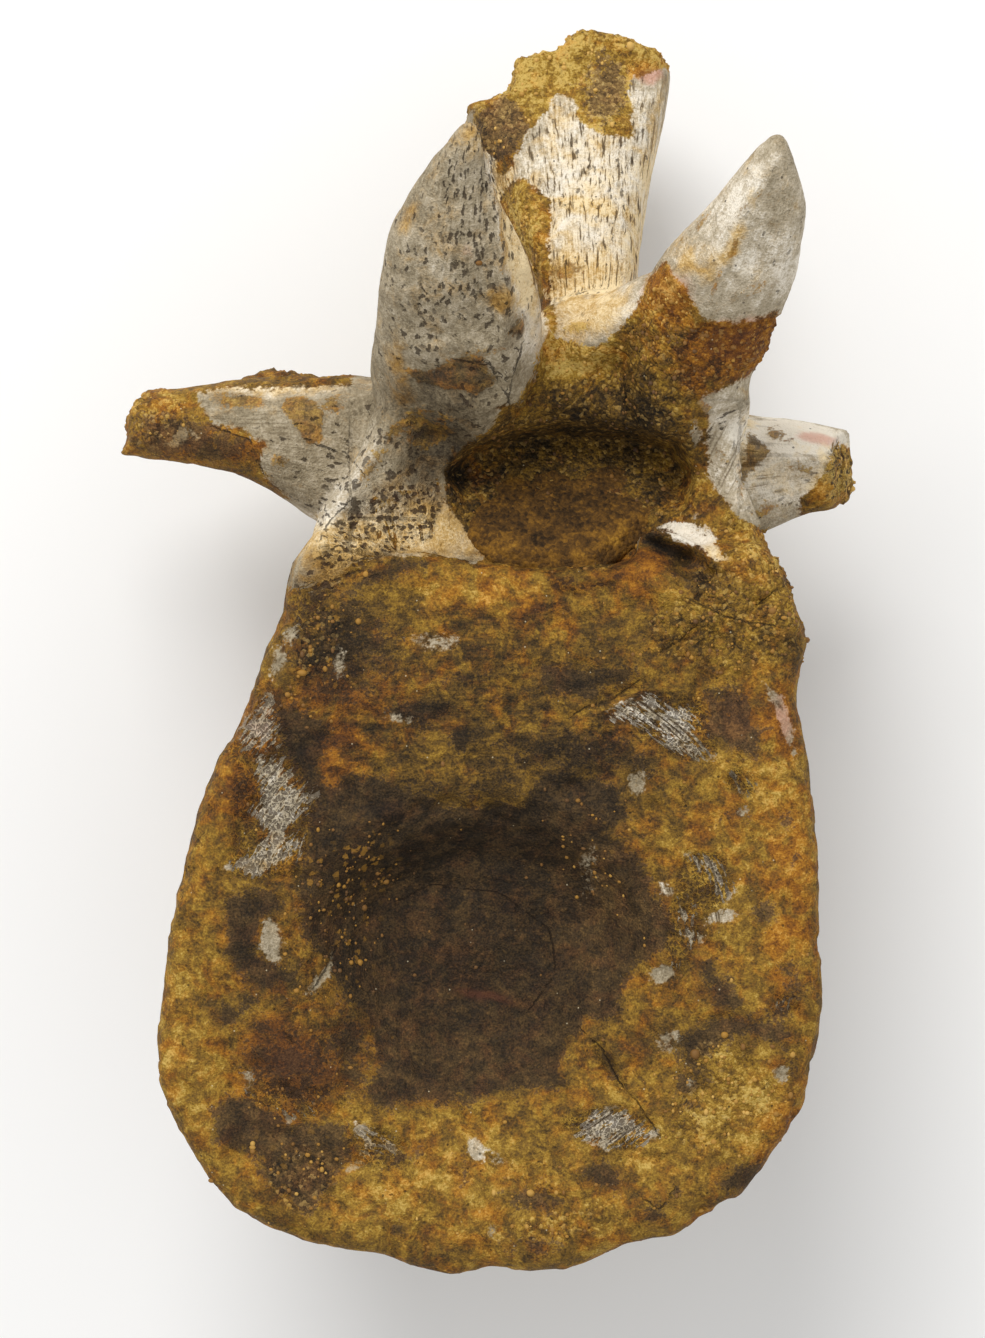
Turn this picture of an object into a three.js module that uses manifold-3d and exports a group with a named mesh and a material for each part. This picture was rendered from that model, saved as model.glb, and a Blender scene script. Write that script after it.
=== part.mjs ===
// A fossil tail vertebra of a large meat-eating dinosaur, as dug: the tips of the spine and of both
// side processes are broken off, and hardened sand still fills the nerve canal.
// It lies on the rear face of its body (the centrum), so the front face looks up.
// Millimetres. +Z is towards the animal's head, +Y is up its back, +X is its left side.
// Shapes are first placed about the middle of the centrum's front face, seen from the front.

import * as THREE from "three";
import { mergeVertices } from "three/addons/utils/BufferGeometryUtils.js";
import Module from "manifold-3d";

const wasm = await Module();
wasm.setup();

// Driving sizes
const GAP = 0.3; // left between pieces that touch
const CENTRUM_LENGTH = 105;
const CENTRUM_SIDES = 60; // points round each ring of the centrum
const REAR_HALF_WIDTH = 65;
const REAR_HALF_HEIGHT = 69;
const REST_BAND = [0.9, 0.95]; // the flat band of the rear rim on the ground, as shares of the radius
const WAIST_SIDE = 0.12; // how far the centrum's sides draw in at mid-length
const WAIST_BELOW = 0.15;
const FACE_DISH = 4; // the gentle hollow of the whole front face
// The deep hollow in its middle. wall is how much of the way out its floor reaches, above and below.
const FACE_PIT = { x: -2, y: -7, across: 41, up: 34, down: 40, wallUp: 0.55, wallDown: 0.3, depth: 13 };
const REAR_DISH = 9;
// Where the rings of the rear and the front face lie, as shares of the radius
const REAR_SHARES = [0.3, 0.55, 0.75];
const FACE_SHARES = [0.89, 0.8, 0.7, 0.6, 0.52, 0.45, 0.38, 0.31, 0.23, 0.12];
const SHOULDER_HOLLOW = { x: 41.5, y: 77.5, z: 99, half: [8.5, 3.2, 13], turn: -0.5 };
const WEAR_SEED = 7;
const WEAR_GRAIN = 17; // spacing of the soft lumps of wear
const WEAR_DEPTH = 0.9;

// The rim of the front face, anticlockwise from its top left, with the chips along its lower edge
const FRONT_RIM = [
  [-40, 82], [-45.5, 64], [-55, 41], [-59, 35], [-66.6, 11.4], [-70.6, -12], [-71.6, -26], [-68.2, -42],
  [-56, -60.5], [-43.5, -67.5], [-20, -72.4], [-10.7, -76.5], [0, -73.6], [15, -75.8], [24, -72], [38, -68.6],
  [44, -64], [54, -58.6], [66, -40], [71, -18], [71, 9], [67, 47], [67.8, 62], [61, 80],
  [46, 82], [20, 76.5], [0, 77], [-20, 82],
];
// The neural arch seen from the front, anticlockwise from its lower left
const ARCH_OUTLINE = [
  [-34, 64], [-39.5, 80], [-37.5, 89], [-30, 100], [-26, 111], [-20, 119], [-8, 123], [6, 127], [13, 134],
  [30, 136.5], [38, 129], [52, 119], [55, 106], [54.5, 97], [58.5, 87], [61.5, 78], [57, 62], [14, 56],
];
const ARCH_MIDDLE = [14, 96];
// The arch along the centrum: [height above the ground, share of the front outline]
const ARCH_STATIONS = [[11, 0.7], [14, 0.78], [30, 0.82], [50, 0.84], [70, 0.9], [86, 0.98], [93, 0.98]];
const ARCH_FRONT = 97;
const ARCH_MOUTH = { x: 16, y: 92, across: 36, up: 25, depth: 13 }; // the funnel in front of the canal
const CANAL_FRONT = { x: 16, y: 93, z: 84, across: 27, up: 18 };
const CANAL_REAR = { x: 14, y: 89, z: 9, across: 13, up: 11 };
const SPINE_BREAK = [
  [-14, 174], [-5, 179.5], [4, 183], [5.6, 190.5], [15, 192.6], [18.4, 196.6], [24.4, 198], [30, 196],
  [37.5, 192], [46, 186],
];

// Lumps of wear, the same at every run: smooth noise on a grid of whole-number hashes
function latticeValue(i, j, k) {
  let h = Math.imul(i, 374761393) ^ Math.imul(j, 668265263) ^ Math.imul(k + WEAR_SEED, 1274126177);
  h = Math.imul(h ^ (h >>> 13), 1103515245);
  return ((h ^ (h >>> 16)) >>> 0) / 4294967295;
}

function noise(x, y, z) {
  const cell = [x, y, z].map(Math.floor);
  const ease = [x, y, z].map((v, n) => THREE.MathUtils.smoothstep(v - cell[n], 0, 1));
  let total = 0;
  for (let corner = 0; corner < 8; corner++) {
    const step = [corner & 1, (corner >> 1) & 1, corner >> 2];
    const weight = step.reduce((w, s, n) => w * (s ? ease[n] : 1 - ease[n]), 1);
    total += weight * latticeValue(cell[0] + step[0], cell[1] + step[1], cell[2] + step[2]);
  }
  return 2 * total - 1;
}

// A closed skin through rings of equally many points, with one point closing each end.
function skin(rings, first, last) {
  const sides = rings[0].length;
  const points = [first, ...rings.flat(), last];
  const end = points.length - 1;
  const faces = [];
  for (let s = 0; s < sides; s++) {
    const next = (s + 1) % sides;
    faces.push(0, 1 + next, 1 + s);
    for (let r = 0; r < rings.length - 1; r++) {
      const a = 1 + r * sides;
      const b = a + sides;
      faces.push(a + s, a + next, b + next, a + s, b + next, b + s);
    }
    const top = 1 + (rings.length - 1) * sides;
    faces.push(end, top + s, top + next);
  }
  const geometry = new THREE.BufferGeometry().setFromPoints(points);
  geometry.setIndex(faces);
  geometry.computeVertexNormals();
  return geometry;
}

// Moves each point along its normal by howFar(point), in millimetres.
function shifted(geometry, howFar) {
  const moved = geometry.clone();
  const place = moved.getAttribute("position");
  const normal = moved.getAttribute("normal");
  const point = new THREE.Vector3();
  const out = new THREE.Vector3();
  for (let i = 0; i < place.count; i++) {
    point.fromBufferAttribute(place, i);
    out.fromBufferAttribute(normal, i);
    point.addScaledVector(out, howFar(point));
    place.setXYZ(i, point.x, point.y, point.z);
  }
  moved.computeVertexNormals();
  return moved;
}

const wear = (p) => WEAR_DEPTH * noise(p.x / WEAR_GRAIN, p.y / WEAR_GRAIN, p.z / WEAR_GRAIN);

const worn = (geometry) => shifted(geometry, wear);

const grown = (geometry) => shifted(geometry, () => GAP);

function solid(geometry) {
  const bare = geometry.clone();
  bare.deleteAttribute("normal");
  bare.deleteAttribute("uv");
  const merged = mergeVertices(bare, 1e-4);
  const mesh = new wasm.Mesh({
    numProp: 3,
    vertProperties: new Float32Array(merged.getAttribute("position").array),
    triVerts: new Uint32Array(merged.index.array),
  });
  mesh.merge();
  return new wasm.Manifold(mesh);
}

// Round a closed outline at even steps of angle about a middle point: the distance to the edge at each.
function radii(outline, middle, sides) {
  const corners = outline.map(([x, y]) => new THREE.Vector3(x, y, 0));
  const curve = new THREE.CatmullRomCurve3(corners, true, "centripetal");
  const edge = curve.getPoints(12 * outline.length).map((p) => {
    const dx = p.x - middle[0];
    const dy = p.y - middle[1];
    return { angle: Math.atan2(dy, dx), far: Math.hypot(dx, dy) };
  });
  const turn = 2 * Math.PI;
  return Array.from({ length: sides }, (_, s) => {
    const angle = (turn * s) / sides;
    const off = (e) => Math.abs(((e.angle - angle + 3 * Math.PI) % turn) - Math.PI);
    return edge.reduce((best, e) => (off(e) < off(best) ? e : best)).far;
  });
}

const direction = (s, sides) => [Math.cos((2 * Math.PI * s) / sides), Math.sin((2 * Math.PI * s) / sides)];

// How deep the front face lies below its rim. share is 0 in the middle and 1 at the rim.
function faceDepth(x, y, share) {
  const above = THREE.MathUtils.smoothstep(y - FACE_PIT.y, -15, 15);
  const reach = THREE.MathUtils.lerp(FACE_PIT.down, FACE_PIT.up, above);
  const wall = THREE.MathUtils.lerp(FACE_PIT.wallDown, FACE_PIT.wallUp, above);
  const away = Math.hypot((x - FACE_PIT.x) / FACE_PIT.across, (y - FACE_PIT.y) / reach);
  const pit = FACE_PIT.depth * (1 - THREE.MathUtils.smoothstep(away, wall, 1.05));
  return pit + FACE_DISH * (1 - share * share);
}

// A ring of the front face: it follows the rim near it, and further in turns into an oval round the pit.
function faceRing(front, share) {
  const oval = 1 - THREE.MathUtils.smoothstep(share, 0.5, 0.86);
  return front.map((far, s) => {
    const [c, d] = direction(s, CENTRUM_SIDES);
    const reach = THREE.MathUtils.lerp(FACE_PIT.down, FACE_PIT.up, THREE.MathUtils.smoothstep(d, -0.4, 0.4));
    const x = THREE.MathUtils.lerp(share * far * c, FACE_PIT.x + 2 * share * FACE_PIT.across * c, oval);
    const y = THREE.MathUtils.lerp(share * far * d, FACE_PIT.y + 2 * share * reach * d, oval);
    return new THREE.Vector3(x, y, CENTRUM_LENGTH - faceDepth(x, y, share / 0.9));
  });
}

// The centrum: rear face, waisted side, rounded rims and hollow front face, as rings about one axis
function centrumSkin() {
  const front = radii(FRONT_RIM, [0, 0], CENTRUM_SIDES);
  const ring = (share, along, height) =>
    front.map((far, s) => {
      const [c, d] = direction(s, CENTRUM_SIDES);
      const rear = 1 / Math.hypot(c / REAR_HALF_WIDTH, d / REAR_HALF_HEIGHT);
      const waist = d > 0.55 ? 0.02 : THREE.MathUtils.lerp(WAIST_SIDE, WAIST_BELOW, Math.max(0, -d));
      const drawn = 1 - waist * Math.sin(Math.PI * along);
      const radius = share * drawn * THREE.MathUtils.lerp(rear, far, THREE.MathUtils.smoothstep(along, 0, 1));
      return new THREE.Vector3(radius * c, radius * d, height);
    });
  const rings = [];
  const rearHollow = (share) => REAR_DISH * (1 - (share / REST_BAND[0]) ** 2);
  for (const share of REAR_SHARES) rings.push(ring(share, 0, rearHollow(share)));
  for (const share of REST_BAND) rings.push(ring(share, 0, 0));
  rings.push(ring(0.985, 0, 2));
  const bands = 9;
  for (let band = 0; band <= bands; band++) {
    const along = band / bands;
    rings.push(ring(1, along, 6 + along * (CENTRUM_LENGTH - 13)));
  }
  rings.push(ring(0.985, 1, CENTRUM_LENGTH - 3), ring(0.95, 1, CENTRUM_LENGTH - 0.8));
  for (const share of FACE_SHARES) rings.push(faceRing(front, share));
  const rear = new THREE.Vector3(0, 0, REAR_DISH);
  const { x, y } = FACE_PIT;
  const pitFloor = new THREE.Vector3(x, y, CENTRUM_LENGTH - faceDepth(x, y, 0));
  // The band that rests on the ground stays flat.
  return shifted(skin(rings, rear, pitFloor), (p) => (p.z < 0.5 ? 0 : wear(p)));
}

// The arch over the nerve canal, as a stack of outlines from the rear to the front
function archSkin() {
  const sides = 44;
  const outline = radii(ARCH_OUTLINE, ARCH_MIDDLE, sides);
  const ring = ([height, share]) =>
    outline.map((far, s) => {
      const [c, d] = direction(s, sides);
      return new THREE.Vector3(ARCH_MIDDLE[0] + share * far * c, ARCH_MIDDLE[1] + share * far * d, height);
    });
  const frontHeight = (x, y) => {
    const away = Math.hypot((x - ARCH_MOUTH.x) / ARCH_MOUTH.across, (y - ARCH_MOUTH.y) / ARCH_MOUTH.up);
    return ARCH_FRONT - ARCH_MOUTH.depth * (1 - THREE.MathUtils.smoothstep(away, 0.3, 1.05));
  };
  const rings = ARCH_STATIONS.map(ring);
  for (const share of [0.92, 0.78, 0.62, 0.46, 0.3, 0.15]) {
    const flat = ring([ARCH_FRONT, share]);
    rings.push(flat.map((p) => p.setZ(frontHeight(p.x, p.y))));
  }
  const rear = new THREE.Vector3(...ARCH_MIDDLE, ARCH_STATIONS[0][0]);
  const front = new THREE.Vector3(...ARCH_MIDDLE, frontHeight(...ARCH_MIDDLE));
  return worn(skin(rings, rear, front));
}

// A limb of bone along a path of [x, y, z, half width, half depth]. The width lies across the path in
// the plane of the front face, and the depth stands off it. A higher power makes the section boxier.
function limb(stations, { sides = 24, steps = 14, power = 2, twist = 0 } = {}) {
  const places = stations.map(([x, y, z]) => new THREE.Vector3(x, y, z));
  const halves = stations.map(([, , , width, depth]) => new THREE.Vector3(width, depth, 0));
  const path = new THREE.CatmullRomCurve3(places, false, "centripetal");
  const breadth = new THREE.CatmullRomCurve3(halves, false, "centripetal");
  const rounded = (v) => Math.sign(v) * Math.abs(v) ** (2 / power);
  const rings = [];
  for (let step = 0; step <= steps; step++) {
    const t = step / steps;
    const middle = path.getPoint(t);
    const along = path.getTangent(t);
    const size = breadth.getPoint(t);
    const across = new THREE.Vector3(along.y, -along.x, 0);
    if (across.length() < 0.3) across.set(1, 0, 0); // a path that runs straight up
    across.addScaledVector(along, -across.dot(along)).normalize();
    const deep = new THREE.Vector3().crossVectors(across, along).normalize();
    rings.push(
      Array.from({ length: sides }, (_, s) => {
        const [c, d] = direction(s, sides).map(rounded);
        const u = size.x * c;
        const v = size.y * d;
        return middle
          .clone()
          .addScaledVector(across, u * Math.cos(twist) - v * Math.sin(twist))
          .addScaledVector(deep, u * Math.sin(twist) + v * Math.cos(twist));
      }));
  }
  const geometry = skin(rings, path.getPoint(0), path.getPoint(1));
  // A path that runs the other way round gives faces that point inwards.
  if (solid(geometry).volume() > 0) return worn(geometry);
  return worn(skin(rings.map((ring) => ring.slice().reverse()), path.getPoint(0), path.getPoint(1)));
}

// A block that takes away all that lies beyond a broken face through a point, facing along a normal.
function beyond(point, normal, side = 120) {
  const facing = new THREE.Vector3(...normal).normalize();
  const block = new THREE.BoxGeometry(side, side, side);
  block.translate(0, 0, side / 2);
  block.applyQuaternion(new THREE.Quaternion().setFromUnitVectors(new THREE.Vector3(0, 0, 1), facing));
  return solid(block.translate(...point));
}

// The sand that fills the canal, wider where the front of the arch is broken away
function canalSkin() {
  const sides = 28;
  const steps = 7;
  const rings = [];
  for (let step = 0; step <= steps; step++) {
    const t = step / steps;
    const flare = THREE.MathUtils.smoothstep(t, 0.35, 1);
    const at = (key, share) => THREE.MathUtils.lerp(CANAL_REAR[key], CANAL_FRONT[key], share);
    rings.push(
      Array.from({ length: sides }, (_, s) => {
        const [c, d] = direction(s, sides);
        // The front of the fill slopes back under the arch.
        const slope = step === steps ? -3.5 * d : 0;
        const x = at("x", t) + at("across", flare) * c;
        const y = at("y", t) + at("up", flare) * d;
        return new THREE.Vector3(x, y, at("z", t) + slope);
      }));
  }
  const rear = new THREE.Vector3(CANAL_REAR.x, CANAL_REAR.y, CANAL_REAR.z);
  const front = new THREE.Vector3(CANAL_FRONT.x, CANAL_FRONT.y, CANAL_FRONT.z + 1.5);
  return skin(rings, rear, front);
}

const preZygRight = () =>
  limb([[-9, 112, 62, 15, 17], [-8, 119, 86, 17, 16.5], [-6.8, 125, 102, 17.6, 14.8],
    [-6.8, 133.5, 113.5, 16.4, 12.5], [-8.2, 144.5, 123.6, 13.2, 10.5], [-8, 155, 132, 8.3, 7.5],
    [-5.4, 162, 138, 4.3, 4.5], [-3.6, 166, 141.4, 1.3, 1.6]],
    { sides: 26, steps: 18, power: 2.5, twist: 0.35 });

const preZygLeft = () =>
  limb([[41, 106, 62, 13, 17], [42, 114, 83, 14.5, 16], [44, 122.5, 99, 15.6, 13.8],
    [47.9, 133, 111, 14.4, 12], [52.4, 142.5, 120.2, 12.2, 10.2], [56.5, 152, 128, 9, 8],
    [58.4, 159, 133.5, 4.9, 5], [58.9, 163, 137.4, 1.3, 1.5]],
    { sides: 26, steps: 18, power: 2.3, twist: -0.35 });

// The ridge of bone that runs from the left prezygapophysis down to the foot of the spine
const lamina = () =>
  limb([[12, 118, 82, 6, 10], [21, 124.5, 90, 6.5, 10], [31, 129.5, 98, 7.5, 10], [43, 133, 106, 9, 9]],
    { sides: 14, steps: 7 });

const postZyg = (side) =>
  limb([[19 + 6 * side, 108, 40, 7, 10], [19 + 9 * side, 114, 24, 7.5, 9], [19 + 11 * side, 118, 13, 6.5, 7],
    [19 + 12 * side, 120, 7, 3, 3.5]], { sides: 16, steps: 8, power: 2.4 });

const spineLimb = () =>
  limb([[20, 116, 52, 11, 34], [21.2, 137, 54, 11.2, 34], [18.8, 160, 51, 17.6, 25], [17.6, 177, 48, 22, 20],
    [18, 192, 46, 23.2, 18], [18.4, 208, 45, 23.6, 18]], { sides: 32, steps: 14, power: 3.6 });

const processRight = () =>
  limb([[-12, 97, 56, 21, 24], [-32, 103, 59, 17.8, 19], [-43, 106.2, 61, 14.6, 15],
    [-55, 108.4, 61, 11.4, 12], [-66, 109.2, 60, 8.9, 10], [-78, 109.6, 58, 7.4, 8.5],
    [-92, 109, 57, 6.8, 8]],
    { sides: 24, steps: 14, power: 2.4, twist: 0.15 });

// The second ridge along the upper rear edge of the right process
const processRidge = () =>
  limb([[-22, 112, 48, 5, 7], [-36, 117.4, 47, 4, 6], [-52, 118.4, 46, 3, 5.5], [-61, 115.5, 47, 1.8, 3]],
    { sides: 12, steps: 8 });

const processLeft = () =>
  limb([[38, 97, 56, 18, 19], [54, 98, 60, 13.4, 15], [66, 98.8, 61, 11.2, 12], [78, 99.2, 62, 8.8, 10],
    [94, 99, 63, 7.4, 9]], { sides: 24, steps: 12, power: 3, twist: -0.3 });

// The broken top of the spine: everything above a jagged line, right through it
function spineTop() {
  const above = new THREE.Shape(SPINE_BREAK.map(([x, y]) => new THREE.Vector2(x, y)));
  above.lineTo(60, 230);
  above.lineTo(-30, 230);
  const block = new THREE.ExtrudeGeometry(above, { depth: 120, bevelEnabled: false });
  return solid(block);
}

function shoulderHollow() {
  const { x, y, z, half, turn } = SHOULDER_HOLLOW;
  const hole = new THREE.SphereGeometry(1, 16, 12);
  hole.scale(...half).rotateZ(turn).translate(x, y, z);
  return solid(hole);
}

// The largest of the closed bodies that a cut leaves
const largest = (cut) => cut.decompose().reduce((a, b) => (b.volume() > a.volume() ? b : a));

const less = (whole, ...cutters) => largest(cutters.reduce((left, cutter) => left.subtract(cutter), whole));

function piece(name, body, finish) {
  const { vertProperties, triVerts, numProp } = body.getMesh();
  const place = new THREE.BufferAttribute(new Float32Array(vertProperties), numProp);
  const geometry = new THREE.BufferGeometry().setAttribute("position", place);
  geometry.setIndex(new THREE.BufferAttribute(new Uint32Array(triVerts), 1));
  geometry.computeVertexNormals();
  const mesh = new THREE.Mesh(geometry, finish);
  mesh.name = name;
  return mesh;
}

const stainedBone = new THREE.MeshStandardMaterial({ color: 0x8a6226, roughness: 0.72, metalness: 0 });
const paleBone = new THREE.MeshStandardMaterial({ color: 0xcbbfa9, roughness: 0.66, metalness: 0 });
const sandstone = new THREE.MeshStandardMaterial({ color: 0x5a4527, roughness: 0.95, metalness: 0 });

const canalForm = canalSkin();
const centrumForm = centrumSkin();
const archForm = archSkin();
const spineForm = spineLimb();
const preZygForms = { right: preZygRight(), left: preZygLeft() };

const canalGap = solid(grown(canalForm));
const centrumGap = solid(grown(centrumForm));
const archGap = solid(grown(archForm));
const spineGap = solid(grown(spineForm));
const preZygGaps = { right: solid(grown(preZygForms.right)), left: solid(grown(preZygForms.left)) };

const centrum = less(solid(centrumForm), canalGap, shoulderHollow());
const arch = less(solid(archForm), canalGap, centrumGap, shoulderHollow());
const spine = less(solid(spineForm), archGap, spineTop());
const preZygs = {
  right: less(solid(preZygForms.right), archGap, canalGap, spineGap),
  left: less(solid(preZygForms.left).add(solid(lamina())), archGap, canalGap, spineGap),
};
const processForms = { right: solid(processRight()).add(solid(processRidge())), left: solid(processLeft()) };
const brokenTips = {
  right: beyond([-81, 111, 57], [-0.85, 0.5, 0.15]),
  left: beyond([79, 98, 62], [0.94, -0.1, 0.33]),
};
const processFor = (side) =>
  less(processForms[side], archGap, canalGap, centrumGap, preZygGaps[side], brokenTips[side]);
const processes = { right: processFor("right"), left: processFor("left") };
const postZygs = {
  right: less(solid(postZyg(-1)), archGap, spineGap, centrumGap),
  left: less(solid(postZyg(1)), archGap, spineGap, centrumGap),
};

const bone = new THREE.Group();
bone.add(piece("centrum", centrum, stainedBone));
bone.add(piece("neural_arch", arch, paleBone));
bone.add(piece("neural_spine", spine, paleBone));
bone.add(piece("canal_matrix", solid(canalForm), sandstone));
for (const side of ["right", "left"]) {
  bone.add(piece(`prezygapophysis_${side}`, preZygs[side], paleBone));
  bone.add(piece(`postzygapophysis_${side}`, postZygs[side], paleBone));
  bone.add(piece(`transverse_process_${side}`, processes[side], paleBone));
}

// The origin is the middle of the whole bone's box, at the ground.
const box = new THREE.Box3().setFromObject(bone);
const middle = box.getCenter(new THREE.Vector3());
bone.position.set(-middle.x, -middle.y, -box.min.z);

export default bone;
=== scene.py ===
"""The looks of a fossil dinosaur tail vertebra: stained bone, spongy bone, hardened sand and its grains."""

import math

import bpy
import numpy as np
from bpy.props import FloatProperty, IntProperty, PointerProperty
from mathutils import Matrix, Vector


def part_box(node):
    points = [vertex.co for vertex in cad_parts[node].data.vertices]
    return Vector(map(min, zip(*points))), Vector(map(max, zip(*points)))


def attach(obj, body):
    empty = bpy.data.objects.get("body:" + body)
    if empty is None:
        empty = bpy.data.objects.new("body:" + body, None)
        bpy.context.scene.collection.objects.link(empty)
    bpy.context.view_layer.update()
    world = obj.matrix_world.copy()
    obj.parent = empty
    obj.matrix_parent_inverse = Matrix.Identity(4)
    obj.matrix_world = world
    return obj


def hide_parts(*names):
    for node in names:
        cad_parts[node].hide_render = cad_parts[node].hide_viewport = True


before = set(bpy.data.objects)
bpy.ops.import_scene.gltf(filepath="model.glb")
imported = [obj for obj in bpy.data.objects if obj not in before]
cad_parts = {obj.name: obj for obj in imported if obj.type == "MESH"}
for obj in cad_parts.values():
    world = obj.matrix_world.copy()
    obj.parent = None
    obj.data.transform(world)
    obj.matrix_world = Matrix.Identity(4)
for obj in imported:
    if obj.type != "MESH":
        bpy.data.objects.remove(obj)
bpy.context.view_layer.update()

bl_info = {
    "name": "Fossil Vertebra",
    "version": (1, 0, 0),
    "blender": (4, 5, 0),
    "location": "3D View > Sidebar > Fossil",
    "description": "Builds a weathered fossil tail vertebra with its sand fill, and a studio round it",
    "category": "Add Mesh",
}

MM = 0.001
SAND_NODE = "canal_matrix"
BONE_NODES = [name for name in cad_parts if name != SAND_NODE]

# The vertebra's own frame, in millimetres: from the middle of the centrum, with z = 0 on the ground.
# The centrum reaches this far to the right side and below that middle.
CENTRUM_LOW_X = -71.6
CENTRUM_LOW_Y = -75.8
centrum_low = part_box("centrum")[0]
MIDDLE = Vector((centrum_low[0] - CENTRUM_LOW_X * MM, centrum_low[1] - CENTRUM_LOW_Y * MM, 0.0))
RIM_HEIGHT = 105.0

# The photo was taken from straight in front of the bone, here from straight above.
PHOTO_SIZE = (985, 1338)
PIXELS_PER_MM = 4.7  # at the height of the front rim
CAMERA_PLACE = Vector((0.5, 54.5, 955.0))
CAMERA_REACH = CAMERA_PLACE.z - RIM_HEIGHT
SENSOR = 36.0

MOST_TRIANGLES = 192000

# Landmarks in those millimetres, y up the photo and z up from the ground. A pair says where a change begins
# and where it ends.
REST_Z = 1.2  # up to here the rear rim stays flat
MARKED_Z = (16, 30)  # from here on the markings follow the photo
CARVED_Z = (20, 30)
MOUTH_Z = (50, 60)
HORN_Z = 56
RIM_Z = 101
SPONGY_FOOT_Y = (66, 72)
ARCH_Y = (76, 90)
ARCH_BASE_Y = 80
ARCH_SIDE_Y = (84, 92)
FACE_TOP_Y = 85
CAP_Y = (110, 116)
# Everything above the first number, y, and below the second, z
BEHIND_HORNS = (118, 95)
SPINE = (122, 92)
REAR_CANAL = ((16, 92), (22, 15))  # its middle, and how far it reaches across and up
# Columns (U) and rows (V) of the photo where the fibres of one part give way to those of the next
HORNS_PART_U = 560
RIGHT_PROCESS_U = 350
LEFT_PROCESS_U = 740
LEFT_HORN_FOOT_V = 400
RIGHT_HORN_FOOT_V = 520

# Heights and depths of the worn surface, in millimetres
FLAKED = 0.6
STAIN_CRUST = 0.35
PIT = 0.7
FLECK = 0.4
FIBRE = 0.3
LAYERS = 0.4
RIM_CHIPS = 1.1
LAMINA = 0.7
LAMINA_SPACING = 3.1
LAMINAE = (722, 622, 96, 52, 12)  # an oval of the photo, as in the tables below
HORN_CRUST = (720, 325, 90, 50, 0)

# The studio, in metres
FLOOR_WIDTH = 6.0
LAMP_PLACE = Vector((-0.3, 0.85, 1.1))
LAMP_TARGET = Vector((0, 0, 0.06))
LAMP_WIDTH = 0.7

EDGE = 14.0  # pixels over which a crisp marking fades

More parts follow.
